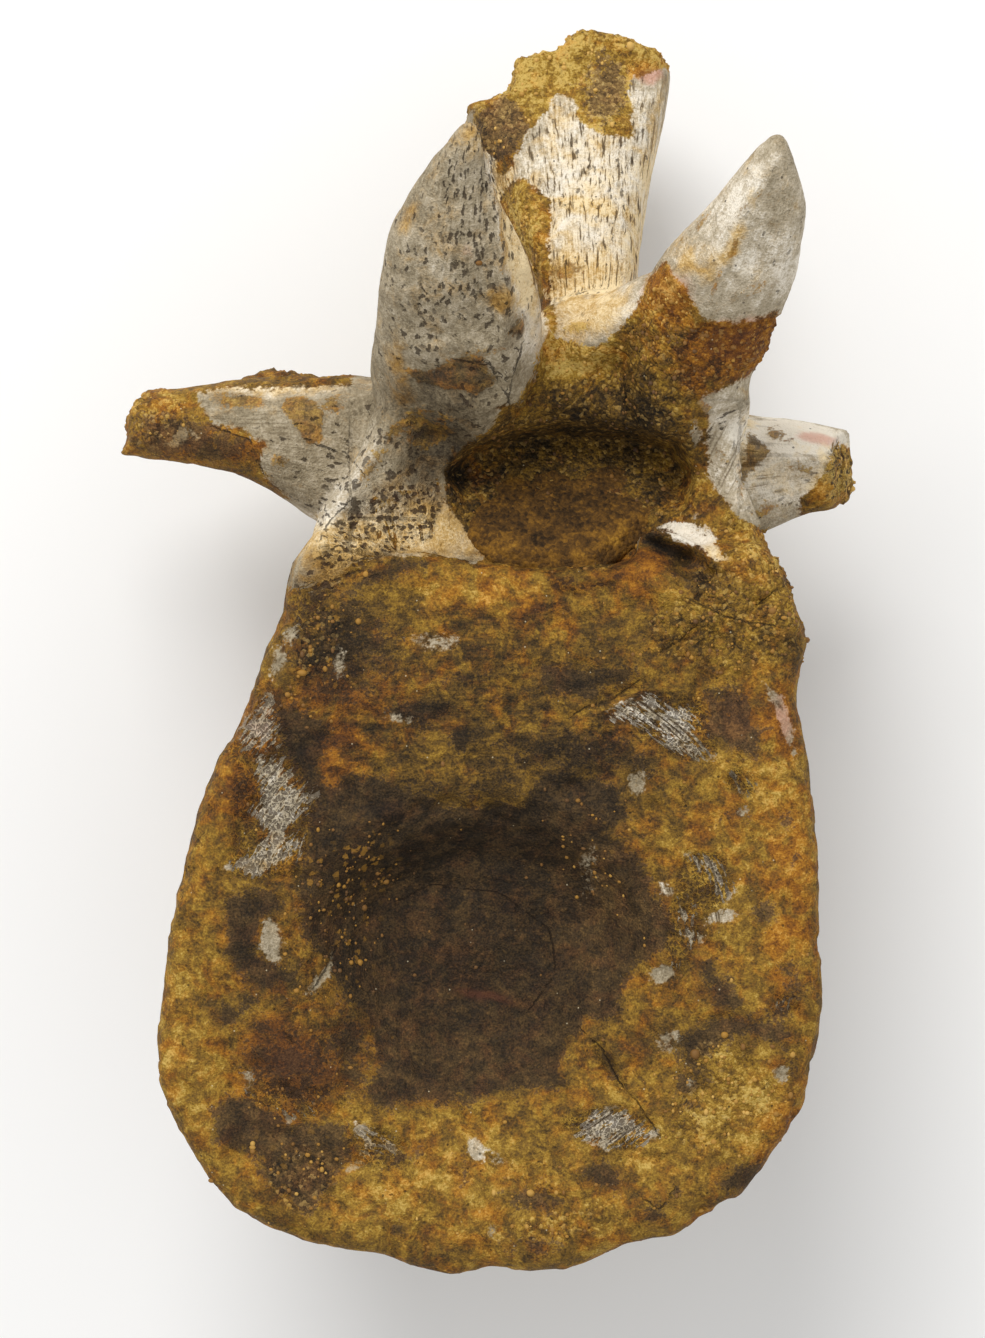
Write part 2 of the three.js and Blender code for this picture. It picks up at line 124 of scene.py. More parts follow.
# Soft markings, by their place in the photo in pixels: (x, y, half width, half height, turn in degrees,
# amount). Each fades out evenly, and they add up.
TONE_OF_FACE = 0.58
TONE = {
    # The dish is darkened partly by its stain and partly by painted shade of its steep upper wall
    "dish top": (450, 848, 130, 38, -4, -0.07),
    "dish middle": (470, 930, 90, 60, 0, -0.03),
    "dish foot": (470, 1055, 110, 40, 0, 0.03),
    "dish right": (612, 920, 50, 70, 0, 0.08),
    "dish edge right": (600, 850, 30, 50, 0, 0.03),
    "band": (450, 745, 190, 60, -4, -0.125),
    "band upper": (470, 645, 190, 60, -4, -0.11),
    "band right": (600, 760, 70, 50, 10, -0.10),
    "arch foot": (470, 592, 90, 14, -3, 0.16),
    "left dark": (318, 655, 34, 70, 14, -0.06),
    "left dish side": (350, 868, 50, 46, 0, -0.02),
    "left low side": (330, 990, 46, 70, 10, -0.10),
    "left mid": (250, 930, 34, 46, 10, -0.04),
    "left rim": (190, 1000, 40, 110, 6, 0.05),
    "left rim low": (190, 1080, 30, 50, -20, 0.14),
    "lower left": (290, 1150, 60, 60, 20, 0.06),
    "lower left red": (290, 1060, 44, 40, 10, -0.06),
    "bottom": (450, 1170, 120, 56, 0, 0.16),
    "bottom left": (370, 1215, 60, 24, 10, 0.08),
    "bottom edge": (540, 1240, 90, 22, -6, 0.06),
    "lower right": (640, 1130, 70, 60, -20, 0.12),
    "lower right sandy": (742, 1110, 50, 40, -40, 0.25),
    "right patch sandy": (722, 1070, 34, 22, 0, 0.04),
    "right yellow": (712, 1052, 18, 10, 0, 0.2),
    "right": (760, 900, 60, 130, 0, 0.08),
    "right upper": (770, 800, 40, 50, 0, 0.08),
    "right middle": (690, 840, 34, 50, 0, 0.10),
    "rust patch": (734, 724, 34, 32, 0, 0.13),
    "laminae": (720, 630, 90, 44, 10, -0.06),
    "pink lump": (646, 578, 26, 16, 30, 0.06),
    "lump ridge": (695, 606, 30, 8, 30, 0.16),
    "shoulder": (760, 560, 36, 36, 35, 0.14),
    "shoulder gold": (735, 526, 20, 14, 30, 0.2),
    # Painted shade in the shoulder's slot and below the ridge beside it
    "slot": (664, 547, 24, 8, 24, -0.3),
    "slot foot": (690, 572, 28, 9, 24, -0.14),
    # Painted shade under the arch: the canal's mouth, its roof and the crust above it
    "canal": (560, 500, 130, 66, 0, -0.23),
    "canal roof": (590, 425, 110, 26, 6, -0.16),
    "crust shade": (610, 405, 80, 26, 4, -0.1),
    "horn root": (450, 376, 46, 20, 0, -0.24),
    "horn facet": (514, 330, 12, 24, 8, -0.16),
    # Painted shade in the hollow between the pedicel's ridge and the canal
    "pedicel hollow": (422, 438, 40, 26, 0, -0.2),
    "dish halo": (485, 930, 205, 190, 0, -0.05),
    # Painted shadow in the canal's corner
    "canal corner": (455, 474, 22, 18, 0, -0.34),
    "canal lip": (612, 536, 26, 12, -20, 0.16),
    "crust": (660, 360, 90, 40, -10, -0.10),
    "crust olive": (640, 400, 60, 30, 0, -0.1),
    # Painted light: lifts the patch between the horns, where the horn's shadow falls
    "between horns": (575, 345, 50, 34, 0, 0.54),
    "between horns low": (560, 400, 60, 22, 0, 0.02),
    "horn shoulder": (665, 295, 30, 34, -30, 0.24),
    "crust sparkle": (655, 365, 24, 22, 0, 0.1),
    "spine crust": (580, 85, 110, 60, 0, 0.42),
    "spine grey": (502, 130, 26, 30, 0, 0.16),
    "spine crust dark": (600, 82, 28, 38, -10, -0.1),
    "spine crust light": (540, 78, 26, 26, 0, 0.08),
    "spine side": (526, 235, 30, 50, 10, 0.3),
    "right process": (190, 430, 90, 40, 0, 0.14),
    "right process dark": (225, 452, 36, 10, 10, -0.12),
    "right process light": (150, 412, 26, 10, -14, 0.12),
    "left process end": (838, 470, 26, 40, 0, 0.36),
}
# Redder where positive, more olive where negative
HUE = {
    "left inner": (340, 752, 26, 34, 0, 0.7),
    "left orange": (350, 690, 50, 26, 0, 0.4),
    "left lobe": (236, 788, 24, 34, 0, 0.5),
    "left edge": (258, 722, 24, 36, 0, 0.5),
    "lower left": (290, 1060, 50, 40, 10, 0.7),
    "pit red": (490, 998, 44, 8, 10, 0.9),
    "pit ring": (450, 960, 50, 40, 0, 0.2),
    "arch foot": (480, 590, 80, 16, 0, 0.3),
    "pink lump": (640, 570, 26, 24, 0, 0.6),
    "shoulder ridge": (700, 540, 30, 12, 24, 0.35),
    "rust patch": (734, 724, 34, 34, 0, 0.4),
    "right": (790, 890, 24, 120, 0, 0.4),
    "right process": (190, 440, 80, 30, 10, 0.3),
    "lower right rim": (780, 1120, 24, 40, 20, 0.5),
    "crust rust": (735, 345, 60, 30, -14, 0.85),
    "horn shoulder": (668, 296, 30, 34, -20, 0.8),
    "right pedicel root": (440, 382, 34, 22, 0, 0.2),
    "left pedicel": (700, 410, 30, 30, 0, 0.5),
    "spine pink": (648, 76, 20, 12, 10, 1.2),
    "spine low": (600, 262, 50, 60, 0, 0.2),
    "process pink": (815, 440, 22, 8, 8, 1.1),
    "edge pink": (784, 720, 16, 34, -10, 0.7),
    "horn pink": (462, 262, 22, 26, 0, 0.35),
    "spine crust": (590, 80, 100, 50, 0, -0.2),
    "spine grey": (500, 130, 26, 26, 0, -0.1),
    "crust olive": (640, 410, 80, 36, 0, -0.6),
    "canal": (600, 440, 110, 40, 0, -0.4),
    "laminae": (720, 620, 90, 44, 0, -0.25),
    "band": (480, 770, 120, 40, 0, -0.45),
    "right yellow": (712, 1052, 30, 16, 0, -1.2),
    "lower right": (720, 1110, 70, 50, 0, -0.3),
    "upper left yellow": (380, 605, 40, 20, -10, -0.6),
}
# Lightness of bare bone
LIGHT_OF_BONE = 0.5
LIGHT = {
    "right horn": (440, 280, 80, 120, 0, 0.08),
    "right horn tip": (474, 146, 22, 34, 0, 0.14),
    "right horn rim": (528, 330, 20, 60, -10, 0.26),
    "right horn facet": (516, 250, 14, 66, -12, 0.42),
    "right horn ridge": (492, 190, 4, 66, -6, 0.2),
    "right horn low": (430, 400, 60, 30, 0, -0.27),
    "right lobe": (470, 415, 26, 26, 0, -0.08),
    "right pedicel": (385, 470, 50, 50, 0, 0.08),
    # Painted shade in the hollow of the pedicel
    "pedicel edge": (345, 490, 14, 60, 36, 0.24),
    "pedicel hollow shade": (430, 452, 40, 30, -20, -0.44),
    "spongy foot": (370, 530, 80, 30, 0, 0.3),
    "cream foot": (440, 536, 40, 24, 0, 0.2),
    "left horn": (750, 240, 90, 100, 0, 0.28),
    "left horn edge": (690, 190, 60, 40, -45, 0.08),
    "left horn grey": (780, 215, 16, 26, 0, -0.12),
    "left horn crest": (748, 190, 9, 60, 34, 0.2),
    "left horn side": (785, 262, 12, 30, 6, 0.14),
    "left pedicel": (725, 420, 50, 60, 0, 0.22),
    # The spine's lighter bone is partly its own colour and partly painted light from the direct light on it
    "spine": (600, 190, 100, 150, 0, 0.42),
    "right process": (300, 430, 100, 60, 0, 0.06),
    # Painted highlight along the top edge of the right process
    "process top": (270, 388, 90, 10, -2, 0.3),
    # Painted light on the left process, which the arch shades, and a painted highlight on its top face, which
    # faces up to the light
    "left process": (790, 480, 70, 40, 0, 0.42),
    "left process top": (795, 436, 64, 16, 8, 0.8),
    "shoulder ridge": (694, 536, 50, 22, 20, 0.5),
    "left wedge": (270, 820, 60, 80, 0, 0.24),
    "left edge net": (262, 715, 30, 40, 0, 0.14),
    "left spot": (271, 941, 16, 24, 0, 0.06),
    "lower left": (300, 1110, 60, 40, 0, 0.1),
    "lower left arc": (376, 1148, 40, 34, 0, 0.2),
    "bottom": (480, 1155, 24, 24, 0, 0.24),
    "right spongy": (655, 725, 60, 40, 0, 0.28),
    "clusters": (700, 900, 60, 60, 0, 0.16),
    "lower right": (610, 1130, 60, 40, 0, 0.22),
    # Painted light between the horns, where the horn's shadow falls
    "between": (595, 312, 60, 30, -20, 0.42),
}
# Yellow clouds on bare bone
YELLOW = {
    "right horn tip": (472, 136, 24, 24, 0, 0.55),
    "right horn strip": (515, 240, 14, 80, -12, 1.3),
    "right horn": (440, 280, 70, 110, 0, 0.18),
    "right horn spot": (500, 300, 12, 14, 0, 1.0),
    "right horn edge": (405, 220, 9, 18, 20, 0.7),
    "right horn root": (400, 380, 12, 40, -10, 0.6),
    "left horn cap": (690, 262, 20, 26, -30, 0.6),
    "left horn fold": (733, 245, 10, 26, 35, 0.8),
    "left horn crown": (760, 190, 16, 30, 20, 0.25),
    "pedicel": (400, 470, 60, 30, 0, 0.3),
    "foot": (420, 530, 70, 34, 0, 1.0),
    "foot left": (330, 560, 40, 40, 0, 0.9),
    "spine": (595, 200, 90, 130, 0, 0.42),
    "spine rib": (584, 207, 34, 7, 6, 1.0),
    "spine low": (575, 275, 50, 26, 0, 0.7),
    "spine edge": (648, 180, 12, 110, 8, 0.35),
    "process top": (270, 388, 90, 12, -2, 0.6),
    "process outer": (170, 430, 60, 34, 0, 0.5),
    "left process": (830, 475, 24, 34, 0, 0.6),
    "left process face": (785, 480, 40, 26, 0, 0.3),
    "between horns": (590, 312, 44, 30, -20, 0.9),
    "left horn flank": (680, 215, 14, 50, 46, 0.3),
    "left pedicel": (748, 450, 12, 50, 0, 0.5),
    "bottom": (400, 1150, 80, 30, 0, 0.5),
    "ridge foot": (725, 555, 22, 14, 20, 0.8),
    "wedge": (262, 860, 40, 20, 0, 0.3),
}
# Crisp markings: an outline as a list of corners, or an oval as above with its strength for amount. Where a
# marking reaches the edge of the bone, its outline goes on beyond it.
PALE = {
    "right horn": [(484, 104), (430, 126), (385, 205), (352, 274), (352, 336), (366, 385), (396, 420),
        (440, 440), (458, 468), (490, 436), (500, 408), (524, 404), (540, 370), (552, 325), (532, 270),
        (500, 180), (492, 130)],
    "right pedicel": [(364, 330), (345, 400), (325, 450), (290, 520), (280, 590), (330, 596), (368, 562),
        (430, 556), (478, 566), (486, 540), (462, 520), (448, 488), (450, 440), (480, 350)],
    "left horn cap": [(812, 104), (754, 124), (690, 195), (630, 258), (600, 272), (552, 286), (556, 346),
        (600, 350), (630, 326), (642, 296), (652, 274), (664, 262), (677, 284), (690, 300), (697, 321),
        (722, 326), (748, 325), (768, 318), (806, 306), (830, 235), (824, 160)],
    "left pedicel": [(800, 340), (748, 372), (722, 384), (706, 392), (698, 404), (710, 420), (706, 446),
        (706, 470), (716, 490), (730, 510), (748, 530), (768, 540), (764, 500), (750, 450), (770, 390)],
    "left pedicel patch": [(668, 424), (698, 418), (704, 440), (690, 456), (672, 452)],
    "left pedicel foot": [(684, 470), (700, 476), (712, 496), (700, 500), (686, 486)],
    "spine": [(470, 156), (508, 170), (528, 128), (545, 112), (556, 92), (573, 96), (584, 123), (606, 134),
        (629, 136), (625, 95), (632, 78), (700, 60), (672, 200), (650, 310), (596, 326), (548, 300),
        (552, 262), (548, 200), (524, 180), (500, 192)],
    "between flake": [(545, 292), (584, 300), (590, 322), (560, 318)],
    "right process": [(376, 380), (345, 384), (300, 384), (240, 388), (196, 392), (200, 410), (214, 424),
        (240, 432), (262, 446), (258, 464), (269, 480), (300, 520), (330, 560), (380, 470)],
    "process outer pale": (174, 436, 26, 11, 14, 0.9),
    "process outer pale 2": (158, 408, 20, 8, -14, 0.8),
    "left process": [(738, 408), (800, 398), (872, 416), (870, 446), (842, 446), (828, 462), (822, 478),
        (800, 500), (800, 530), (735, 545), (742, 490), (748, 455), (745, 430)],
    "left wedge": [(246, 744), (284, 756), (300, 780), (319, 786), (319, 796), (305, 813), (292, 832),
        (309, 836), (306, 850), (284, 868), (260, 882), (220, 872), (246, 851), (266, 836), (250, 813),
        (258, 788)],
    "left edge net": [(262, 690), (276, 690), (280, 720), (284, 748), (250, 750), (226, 742), (244, 716)],
    "left spot": [(262, 924), (272, 916), (280, 924), (286, 945), (282, 960), (268, 962), (260, 945)],
    "left sliver": [(334, 950), (338, 966), (328, 984), (314, 994), (298, 996), (312, 984), (322, 970)],
    "left knob": (290, 632, 8, 20, 16, 0.6),
    "left knob low": (276, 664, 10, 18, 10, 0.7),
    "upper flecks": (436, 643, 24, 8, 0, 0.45),
    "upper fleck": (338, 662, 8, 16, -10, 0.5),
    "band fleck": (398, 718, 16, 5, 10, 0.4),
    "right spongy": [(590, 716), (620, 700), (652, 694), (664, 708), (690, 706), (704, 706), (700, 722),
        (704, 740), (722, 752), (716, 762), (690, 764), (668, 754), (650, 738), (620, 726)],
    "right fleck": (636, 784, 11, 14, 0, 0.8),
    "right faint": (740, 784, 16, 14, 30, 0.45),
    "right dot": (744, 813, 7, 6, 0, 0.6),
    "right cluster": [(684, 852), (700, 848), (716, 852), (728, 866), (724, 880), (738, 892), (730, 904),
        (714, 896), (708, 880), (696, 868)],
    "right cluster low": (722, 918, 18, 8, -12, 1.0),
    "inner cluster high": (668, 892, 12, 6, 20, 0.9),
    "inner cluster": (686, 916, 12, 12, -30, 1.0),
    "inner cluster mid": (692, 936, 14, 11, 0, 1.0),
    "inner cluster low": (662, 970, 18, 10, -20, 1.1),
    "lower right spongy": [(566, 1134), (584, 1112), (604, 1102), (620, 1104), (636, 1116), (662, 1132),
        (660, 1142), (630, 1146), (600, 1156), (584, 1146)],
    "lower right sliver": (693, 1090, 6, 15, -10, 0.9),
    "right star": [(770, 1000), (780, 994), (788, 1004), (798, 1008), (788, 1016), (776, 1010)],
    "pebble": (778, 1071, 11, 11, 0, 0.8),
    "faint ring": (668, 1038, 14, 12, 0, 0.4),
    "lower left streak": [(276, 1106), (290, 1112), (316, 1102), (318, 1112), (304, 1118), (288, 1126)],
    "lower left drop": (248, 1082, 7, 14, -10, 0.5),
    "lower left arc": [(352, 1120), (364, 1126), (380, 1132), (400, 1142), (408, 1150), (392, 1154),
        (376, 1150), (362, 1168), (344, 1174), (356, 1150)],
    "bottom fleck": [(464, 1142), (478, 1138), (484, 1150), (480, 1166), (470, 1164), (462, 1156)],
    "bottom fleck right": (498, 1160, 14, 7, 20, 0.8),
    "bottom knob": (491, 1232, 6, 8, 0, 0.8),
    "right edge strip": [(762, 684), (784, 700), (798, 735), (800, 760), (786, 742), (774, 712)],
    "shoulder ridge": [(652, 520), (684, 520), (717, 531), (722, 546), (740, 566), (726, 566), (712, 556),
        (690, 547), (666, 536), (655, 530)],
    "shoulder ridge high": (688, 514, 12, 6, 20, 0.8),
    "shoulder foot": (626, 534, 14, 14, 30, 0.6),
    "pit edge flecks": (590, 872, 8, 26, 10, 0.35),
}
BROWN = {
    "process patch": [(276, 412), (284, 400), (304, 396), (326, 412), (322, 440), (304, 452), (292, 432)],
    "process patch left": (236, 402, 26, 8, 6, 1.2),
    "process patch low": (282, 462, 10, 9, 0, 0.7),
    "process patch top": (330, 402, 16, 7, -10, 0.6),
    "horn root": [(404, 366), (425, 366), (446, 356), (478, 352), (486, 366), (500, 384), (482, 396),
        (462, 392), (440, 386), (420, 386)],
    "horn facet": (514, 330, 8, 17, 8, 0.9),
    "horn ridge line": (497, 220, 4, 70, -7, 0.55),
    "pedicel stain": (404, 424, 30, 10, -30, 0.6),
    "pedicel stain low": (372, 468, 9, 26, 35, 0.5),
    "horn base line": (478, 352, 22, 5, -4, 0.6),
    "pedicel hollow": (425, 432, 30, 16, -20, 0.5),
    "left pedicel": (704, 414, 10, 20, 10, 0.6),
    "left pedicel low": (716, 452, 14, 6, 50, 0.5),
    "left pedicel side": (742, 470, 6, 26, 8, 0.4),
    "process matrix": [(752, 430), (764, 436), (774, 448), (766, 462), (752, 474), (742, 484), (744, 462),
        (748, 444)],
    "process top spot": (776, 432, 9, 5, 20, 0.9),
    "process top spot 2": (790, 440, 6, 4, 20, 0.7),
    "process under": (768, 508, 18, 7, -10, 0.6),
    "process end stain": (800, 470, 14, 8, 20, 0.5),
    "between stain": (578, 326, 18, 8, -16, 0.8),
    "cap stain": (734, 250, 5, 18, 36, 0.9),
    "cap stain low": (716, 285, 4, 18, 30, 0.7),
    "cap line": (756, 196, 3, 26, 38, 0.6),
    "cap flank stain": (694, 232, 4, 24, 44, 0.6),
    "cap grey": (755, 290, 16, 6, -30, 0.3),
    "ridge stain": (704, 532, 12, 4, 14, 0.7),
    "spine patch": (562, 268, 26, 9, 0, 0.5),
    "spongy dark": (398, 500, 34, 8, -14, 0.3),
}
# Dark umber stains. The dish's outline is partly painted shade of its steep upper wall, and the slot's is
# painted shade in its hole.
STAIN = {
    "dish": [(322, 790), (345, 770), (400, 782), (452, 806), (520, 800), (556, 768), (600, 778),
        (622, 790), (630, 820), (612, 832), (640, 852), (656, 886), (670, 912), (674, 936), (664, 950),
        (640, 964), (622, 988), (620, 1012), (600, 1026), (590, 1018), (576, 1040), (560, 1058),
        (570, 1082), (540, 1090), (500, 1096), (465, 1106), (430, 1102), (390, 1110), (364, 1100),
        (372, 1060), (368, 1020), (345, 1000), (330, 970), (300, 930), (296, 880), (308, 840), (302, 812)],
    "dish left": (350, 1050, 24, 46, 0, 0.35),
    "process outer": (188, 440, 66, 24, 12, 0.7),
    "left umber": [(272, 706), (292, 702), (314, 716), (334, 724), (328, 744), (322, 768), (330, 792),
        (312, 800), (300, 776), (286, 752), (278, 730)],
    "upper left": (340, 650, 60, 56, 20, 0.16),
    "upper left corner": (318, 592, 26, 16, -30, 0.5),
    "streak left": [(376, 714), (400, 702), (440, 700), (460, 706), (450, 716), (430, 720), (442, 730),
        (425, 732), (405, 722)],
    "streak end": [(448, 730), (470, 724), (492, 734), (472, 744), (462, 754), (452, 742)],
    "streak high": (462, 680, 26, 7, -15, 0.7),
    "streak low": (430, 790, 90, 10, 2, 0.4),
    "streak right": [(540, 664), (570, 664), (600, 668), (638, 664), (642, 676), (620, 684), (602, 684),
        (598, 694), (604, 708), (575, 700), (550, 698), (534, 686)],
    "band right": (572, 752, 70, 20, 0, 0.35),
    "band spot": (508, 777, 12, 7, 0, 1.0),
    "right dish edge": (642, 766, 14, 14, 0, 0.5),
    "rust patch": [(708, 696), (730, 686), (745, 690), (752, 700), (756, 712), (768, 728), (764, 745),
        (754, 762), (738, 756), (720, 748), (706, 738), (702, 724), (704, 712)],
    "left mid": [(222, 900), (250, 888), (280, 890), (290, 910), (262, 920), (258, 950), (276, 965),
        (300, 962), (296, 985), (262, 990), (236, 975), (226, 950), (228, 925)],
    "left spots": [(212, 1014), (222, 1004), (236, 1008), (248, 1016), (232, 1022), (222, 1028)],
    "left spots high": [(230, 1000), (246, 992), (260, 994), (252, 1008), (240, 1013)],
    "left spots low": [(244, 1022), (262, 1016), (278, 1024), (268, 1036), (250, 1032)],
    "left lobe": (236, 786, 12, 10, 0, 0.6),
    "lower left": [(212, 1112), (226, 1096), (250, 1100), (275, 1106), (290, 1126), (310, 1122),
        (330, 1118), (345, 1126), (354, 1145), (350, 1165), (336, 1176), (332, 1200), (322, 1212),
        (300, 1216), (285, 1200), (270, 1190), (258, 1168), (240, 1150), (222, 1146), (206, 1140)],
    "lower left red": (290, 1064, 56, 36, 10, 0.25),
    "arc spot": (374, 1158, 8, 8, 0, 1.0),
    "arc spot 2": (396, 1158, 10, 7, 0, 1.0),
    "arc spot 3": (416, 1152, 6, 12, 10, 1.0),
    "bottom fleck side": (461, 1168, 5, 16, 0, 1.0),
    "bottom spot": (397, 1231, 8, 7, 0, 1.0),
    "bottom dark": [(498, 1196), (520, 1188), (548, 1190), (562, 1202), (545, 1214), (520, 1212),
        (506, 1206)],
    "bottom dark low": (536, 1248, 28, 9, 0, 0.6),
    "lower mid dark": [(576, 1168), (600, 1158), (622, 1164), (632, 1178), (618, 1192), (596, 1190),
        (582, 1180)],
    "low crack": [(598, 1050), (614, 1048), (616, 1062), (622, 1080), (610, 1074), (602, 1060)],
    "rim spot low": [(645, 1214), (652, 1200), (668, 1194), (676, 1186), (680, 1194), (662, 1210),
        (664, 1224), (652, 1224)],
    "rim spot low edge": [(712, 1182), (724, 1168), (748, 1162), (768, 1160), (760, 1176), (742, 1188),
        (724, 1194)],
    "lower right sliver": [(676, 1103), (690, 1098), (702, 1104), (696, 1112), (682, 1112)],
    "right patch": [(692, 960), (712, 960), (722, 975), (735, 985), (744, 1005), (732, 1022), (716, 1010),
        (706, 990), (696, 976)],
    "right patch low": [(676, 1034), (700, 1024), (730, 1014), (760, 1018), (790, 1022), (802, 1040),
        (780, 1052), (750, 1040), (720, 1048), (700, 1060), (686, 1076), (678, 1052)],
    "right patch foot": (690, 1084, 16, 24, 30, 0.6),
    "right spot": (765, 915, 13, 13, 0, 0.8),
    "right small spot": (738, 815, 13, 8, 0, 0.8),
    "right small spot 2": (785, 820, 7, 9, 0, 0.9),
    "right small spot 3": (795, 858, 5, 5, 0, 1.0),
    "right edge dark": (793, 985, 10, 18, -20, 0.7),
    "star foot": (782, 1012, 11, 8, 0, 0.8),
    "pebble rim": (794, 1072, 5, 9, 0, 0.8),
    # Painted shade in the hole of the shoulder's slot
    "slot": [(638, 541), (650, 530), (664, 537), (684, 548), (708, 556), (716, 565), (700, 568),
        (682, 564), (662, 556), (648, 550)],
    "black band": [(332, 596), (352, 580), (372, 570), (392, 562), (420, 558), (438, 561), (424, 570),
        (404, 576), (380, 582), (356, 594), (340, 604)],
    "shoulder foot": (700, 580, 30, 9, 14, 0.5),
    "spine dark": (602, 88, 26, 36, -10, 0.7),
    "spine grey": (500, 130, 30, 30, 0, 1.6),
}
SAND = {
    "horn crust": [(640, 300), (664, 264), (677, 285), (690, 301), (698, 322), (722, 327), (748, 326),
        (768, 319), (806, 307), (795, 345), (758, 366), (740, 374), (715, 386), (694, 404), (700, 440),
        (690, 480), (640, 470), (560, 440), (520, 430), (510, 404), (548, 330), (600, 342)],
    "canal": [(440, 455), (520, 405), (640, 420), (700, 470), (720, 500), (690, 525), (650, 530),
        (600, 572), (500, 566), (470, 530), (440, 500)],
    "spine crust": [(500, 106), (500, 52), (545, 43), (573, 20), (601, 12), (650, 30), (680, 64),
        (629, 78), (623, 95), (629, 134), (606, 132), (584, 123), (573, 95), (556, 90), (545, 112),
        (528, 126), (500, 112)],
    "spine grey crust": (498, 128, 32, 32, 0, 1),
    "spine side": [(500, 196), (524, 184), (548, 200), (552, 262), (536, 290), (516, 250)],
    "upper right": [(700, 560), (770, 556), (805, 620), (800, 660), (740, 676), (660, 660), (640, 620),
        (690, 590)],
    "shoulder": [(730, 506), (770, 530), (810, 580), (790, 610), (750, 590), (724, 560), (708, 530)],
    "process tip": (160, 418, 34, 30, 0, 0.6),
    "process top crust": (284, 374, 44, 6, 0, 1),
    "process end": (840, 474, 16, 34, 0, 0.8),
    "left side": (318, 640, 24, 50, 14, 0.6),
    "lower left": (300, 1180, 36, 36, 0, 0.8),
    "lower right": (720, 1110, 60, 40, -30, 0.7),
    "right patch": (716, 1056, 34, 22, 0, 0.6),
    "bottom": (560, 1225, 90, 20, -6, 0.5),
}
POROUS = {
    "spongy foot": [(318, 560), (345, 510), (380, 484), (436, 470), (448, 500), (440, 540), (380, 560),
        (330, 600), (300, 604)],
    "left wedge": [(225, 745), (262, 690), (286, 700), (300, 760), (325, 790), (300, 880), (230, 885)],
    "arch foot": [(540, 576), (580, 574), (616, 578), (614, 598), (584, 600), (552, 590)],
    "left dark side": (306, 600, 22, 40, 20, 0.7),
    "right spongy": [(590, 716), (650, 690), (704, 700), (724, 756), (690, 770), (640, 740)],
    "cluster": (706, 880, 30, 34, 0, 0.9),
    "inner cluster": (682, 930, 22, 46, 10, 0.9),
    "lower right": (610, 1128, 50, 24, 10, 0.9),
    "process end": (838, 474, 18, 34, 0, 0.8),
    "star": (782, 1006, 14, 12, 0, 0.8),
    "lower left": (290, 1100, 50, 24, 0, 0.5),
    "arc": (374, 1150, 34, 24, 0, 0.5),
    "right faint": (740, 784, 18, 16, 0, 0.6),
}
# Small pits along the fibres
PITS = {
    "right horn": (474, 220, 30, 90, -12, 1.1),
    "right horn ridge": (494, 200, 12, 70, -8, 0.7),
    "right horn side": (420, 290, 50, 80, 0, 0.55),
    "right horn low": (470, 330, 60, 50, 0, 0.6),
    "right lobe": (470, 410, 30, 30, 0, 0.8),
    "pedicel": (400, 460, 70, 50, 0, 0.6),
    "spongy top": (395, 500, 50, 20, -12, 1.0),
    "spongy left": (345, 540, 40, 40, -40, 0.9),
    "process": (330, 460, 60, 60, 0, 0.55),
    "left process": (780, 490, 40, 30, 0, 0.3),
    "left pedicel": (725, 430, 30, 60, 0, 0.35),
    "spine": (600, 190, 80, 130, 0, 0.2),
    "left horn": (770, 250, 40, 70, 0, 0.15),
    "face": (480, 900, 330, 360, 0, 0.12),
}
FIBRES = {
    "spine": (595, 180, 110, 170, 0, 1.0),
    "right horn": (450, 270, 80, 170, 0, 0.4),
    "left horn": (750, 230, 90, 120, 0, 0.35),
    "right process": (250, 440, 80, 70, 0, 0.5),
    "right pedicel": (400, 440, 36, 40, 0, 0.4),
    "left pedicel": (725, 440, 50, 80, 0, 0.5),
    "left process": (790, 470, 70, 60, 0, 0.4),
    "band": (470, 700, 230, 130, 0, 0.9),
    "right spongy": (655, 725, 70, 40, 0, 1.0),
    "clusters": (695, 905, 60, 80, 0, 0.9),
    "lower right": (610, 1128, 60, 36, 0, 0.9),
    "left wedge": (270, 820, 50, 80, 0, 0.5),
}
# Golden grains of sand stuck in dark patches
FLECKS = {
    "left dish side": (345, 868, 56, 52, 0, 0.8),
    "left low": (330, 960, 46, 60, 0, 0.6),
    "upper left": (320, 650, 40, 70, 14, 0.7),
    "lower left": (290, 1150, 60, 60, 0, 0.45),
    "upper right": (720, 625, 90, 46, 0, 0.8),
    "dish edge": (600, 850, 40, 60, 0, 0.4),
    "lower right": (720, 1090, 70, 50, 0, 0.7),
    "bottom": (520, 1200, 90, 30, 0, 0.4),
    "crust": (660, 330, 80, 60, 0, 0.5),
}
# Every kind of marking: (its table, its value between soft markings or None for crisp ones, and then for the
# sides and the back how strong the noise is, its width in mm, its seed, its middle value, and how much more
# there is on the arch)
KINDS = {
    "tone": (TONE, TONE_OF_FACE, 0.28, 30, 12, 0.56, 0.0),
    "hue": (HUE, 0.0, 0.5, 26, 15, 0.0, 0.0),
    "light": (LIGHT, LIGHT_OF_BONE, 0.25, 24, 18, 0.5, 0.2),
    "yellow": (YELLOW, 0.0, 0.5, 22, 19, 0.25, 0.0),
    "pale": (PALE, None, 2.0, 30, 11, -0.45, 1.5),
    "brown": (BROWN, None, 2.4, 17, 20, -1.0, 0.0),
    "sand": (SAND, None, 2.2, 24, 14, -0.9, 0.0),
    "porous": (POROUS, None, 2.2, 20, 16, -0.9, 0.0),
    "pits": (PITS, 0.0, 0.3, 15, 17, 0.3, 0.0),
    "fibre": (FIBRES, 0.0, 0.0, 20, 23, 0.7, 0.0),
    "fleck": (FLECKS, 0.0, 1.0, 18, 21, 0.0, 0.0),
    "stain": (STAIN, None, 2.2, 19, 22, -0.7, -0.6),
}
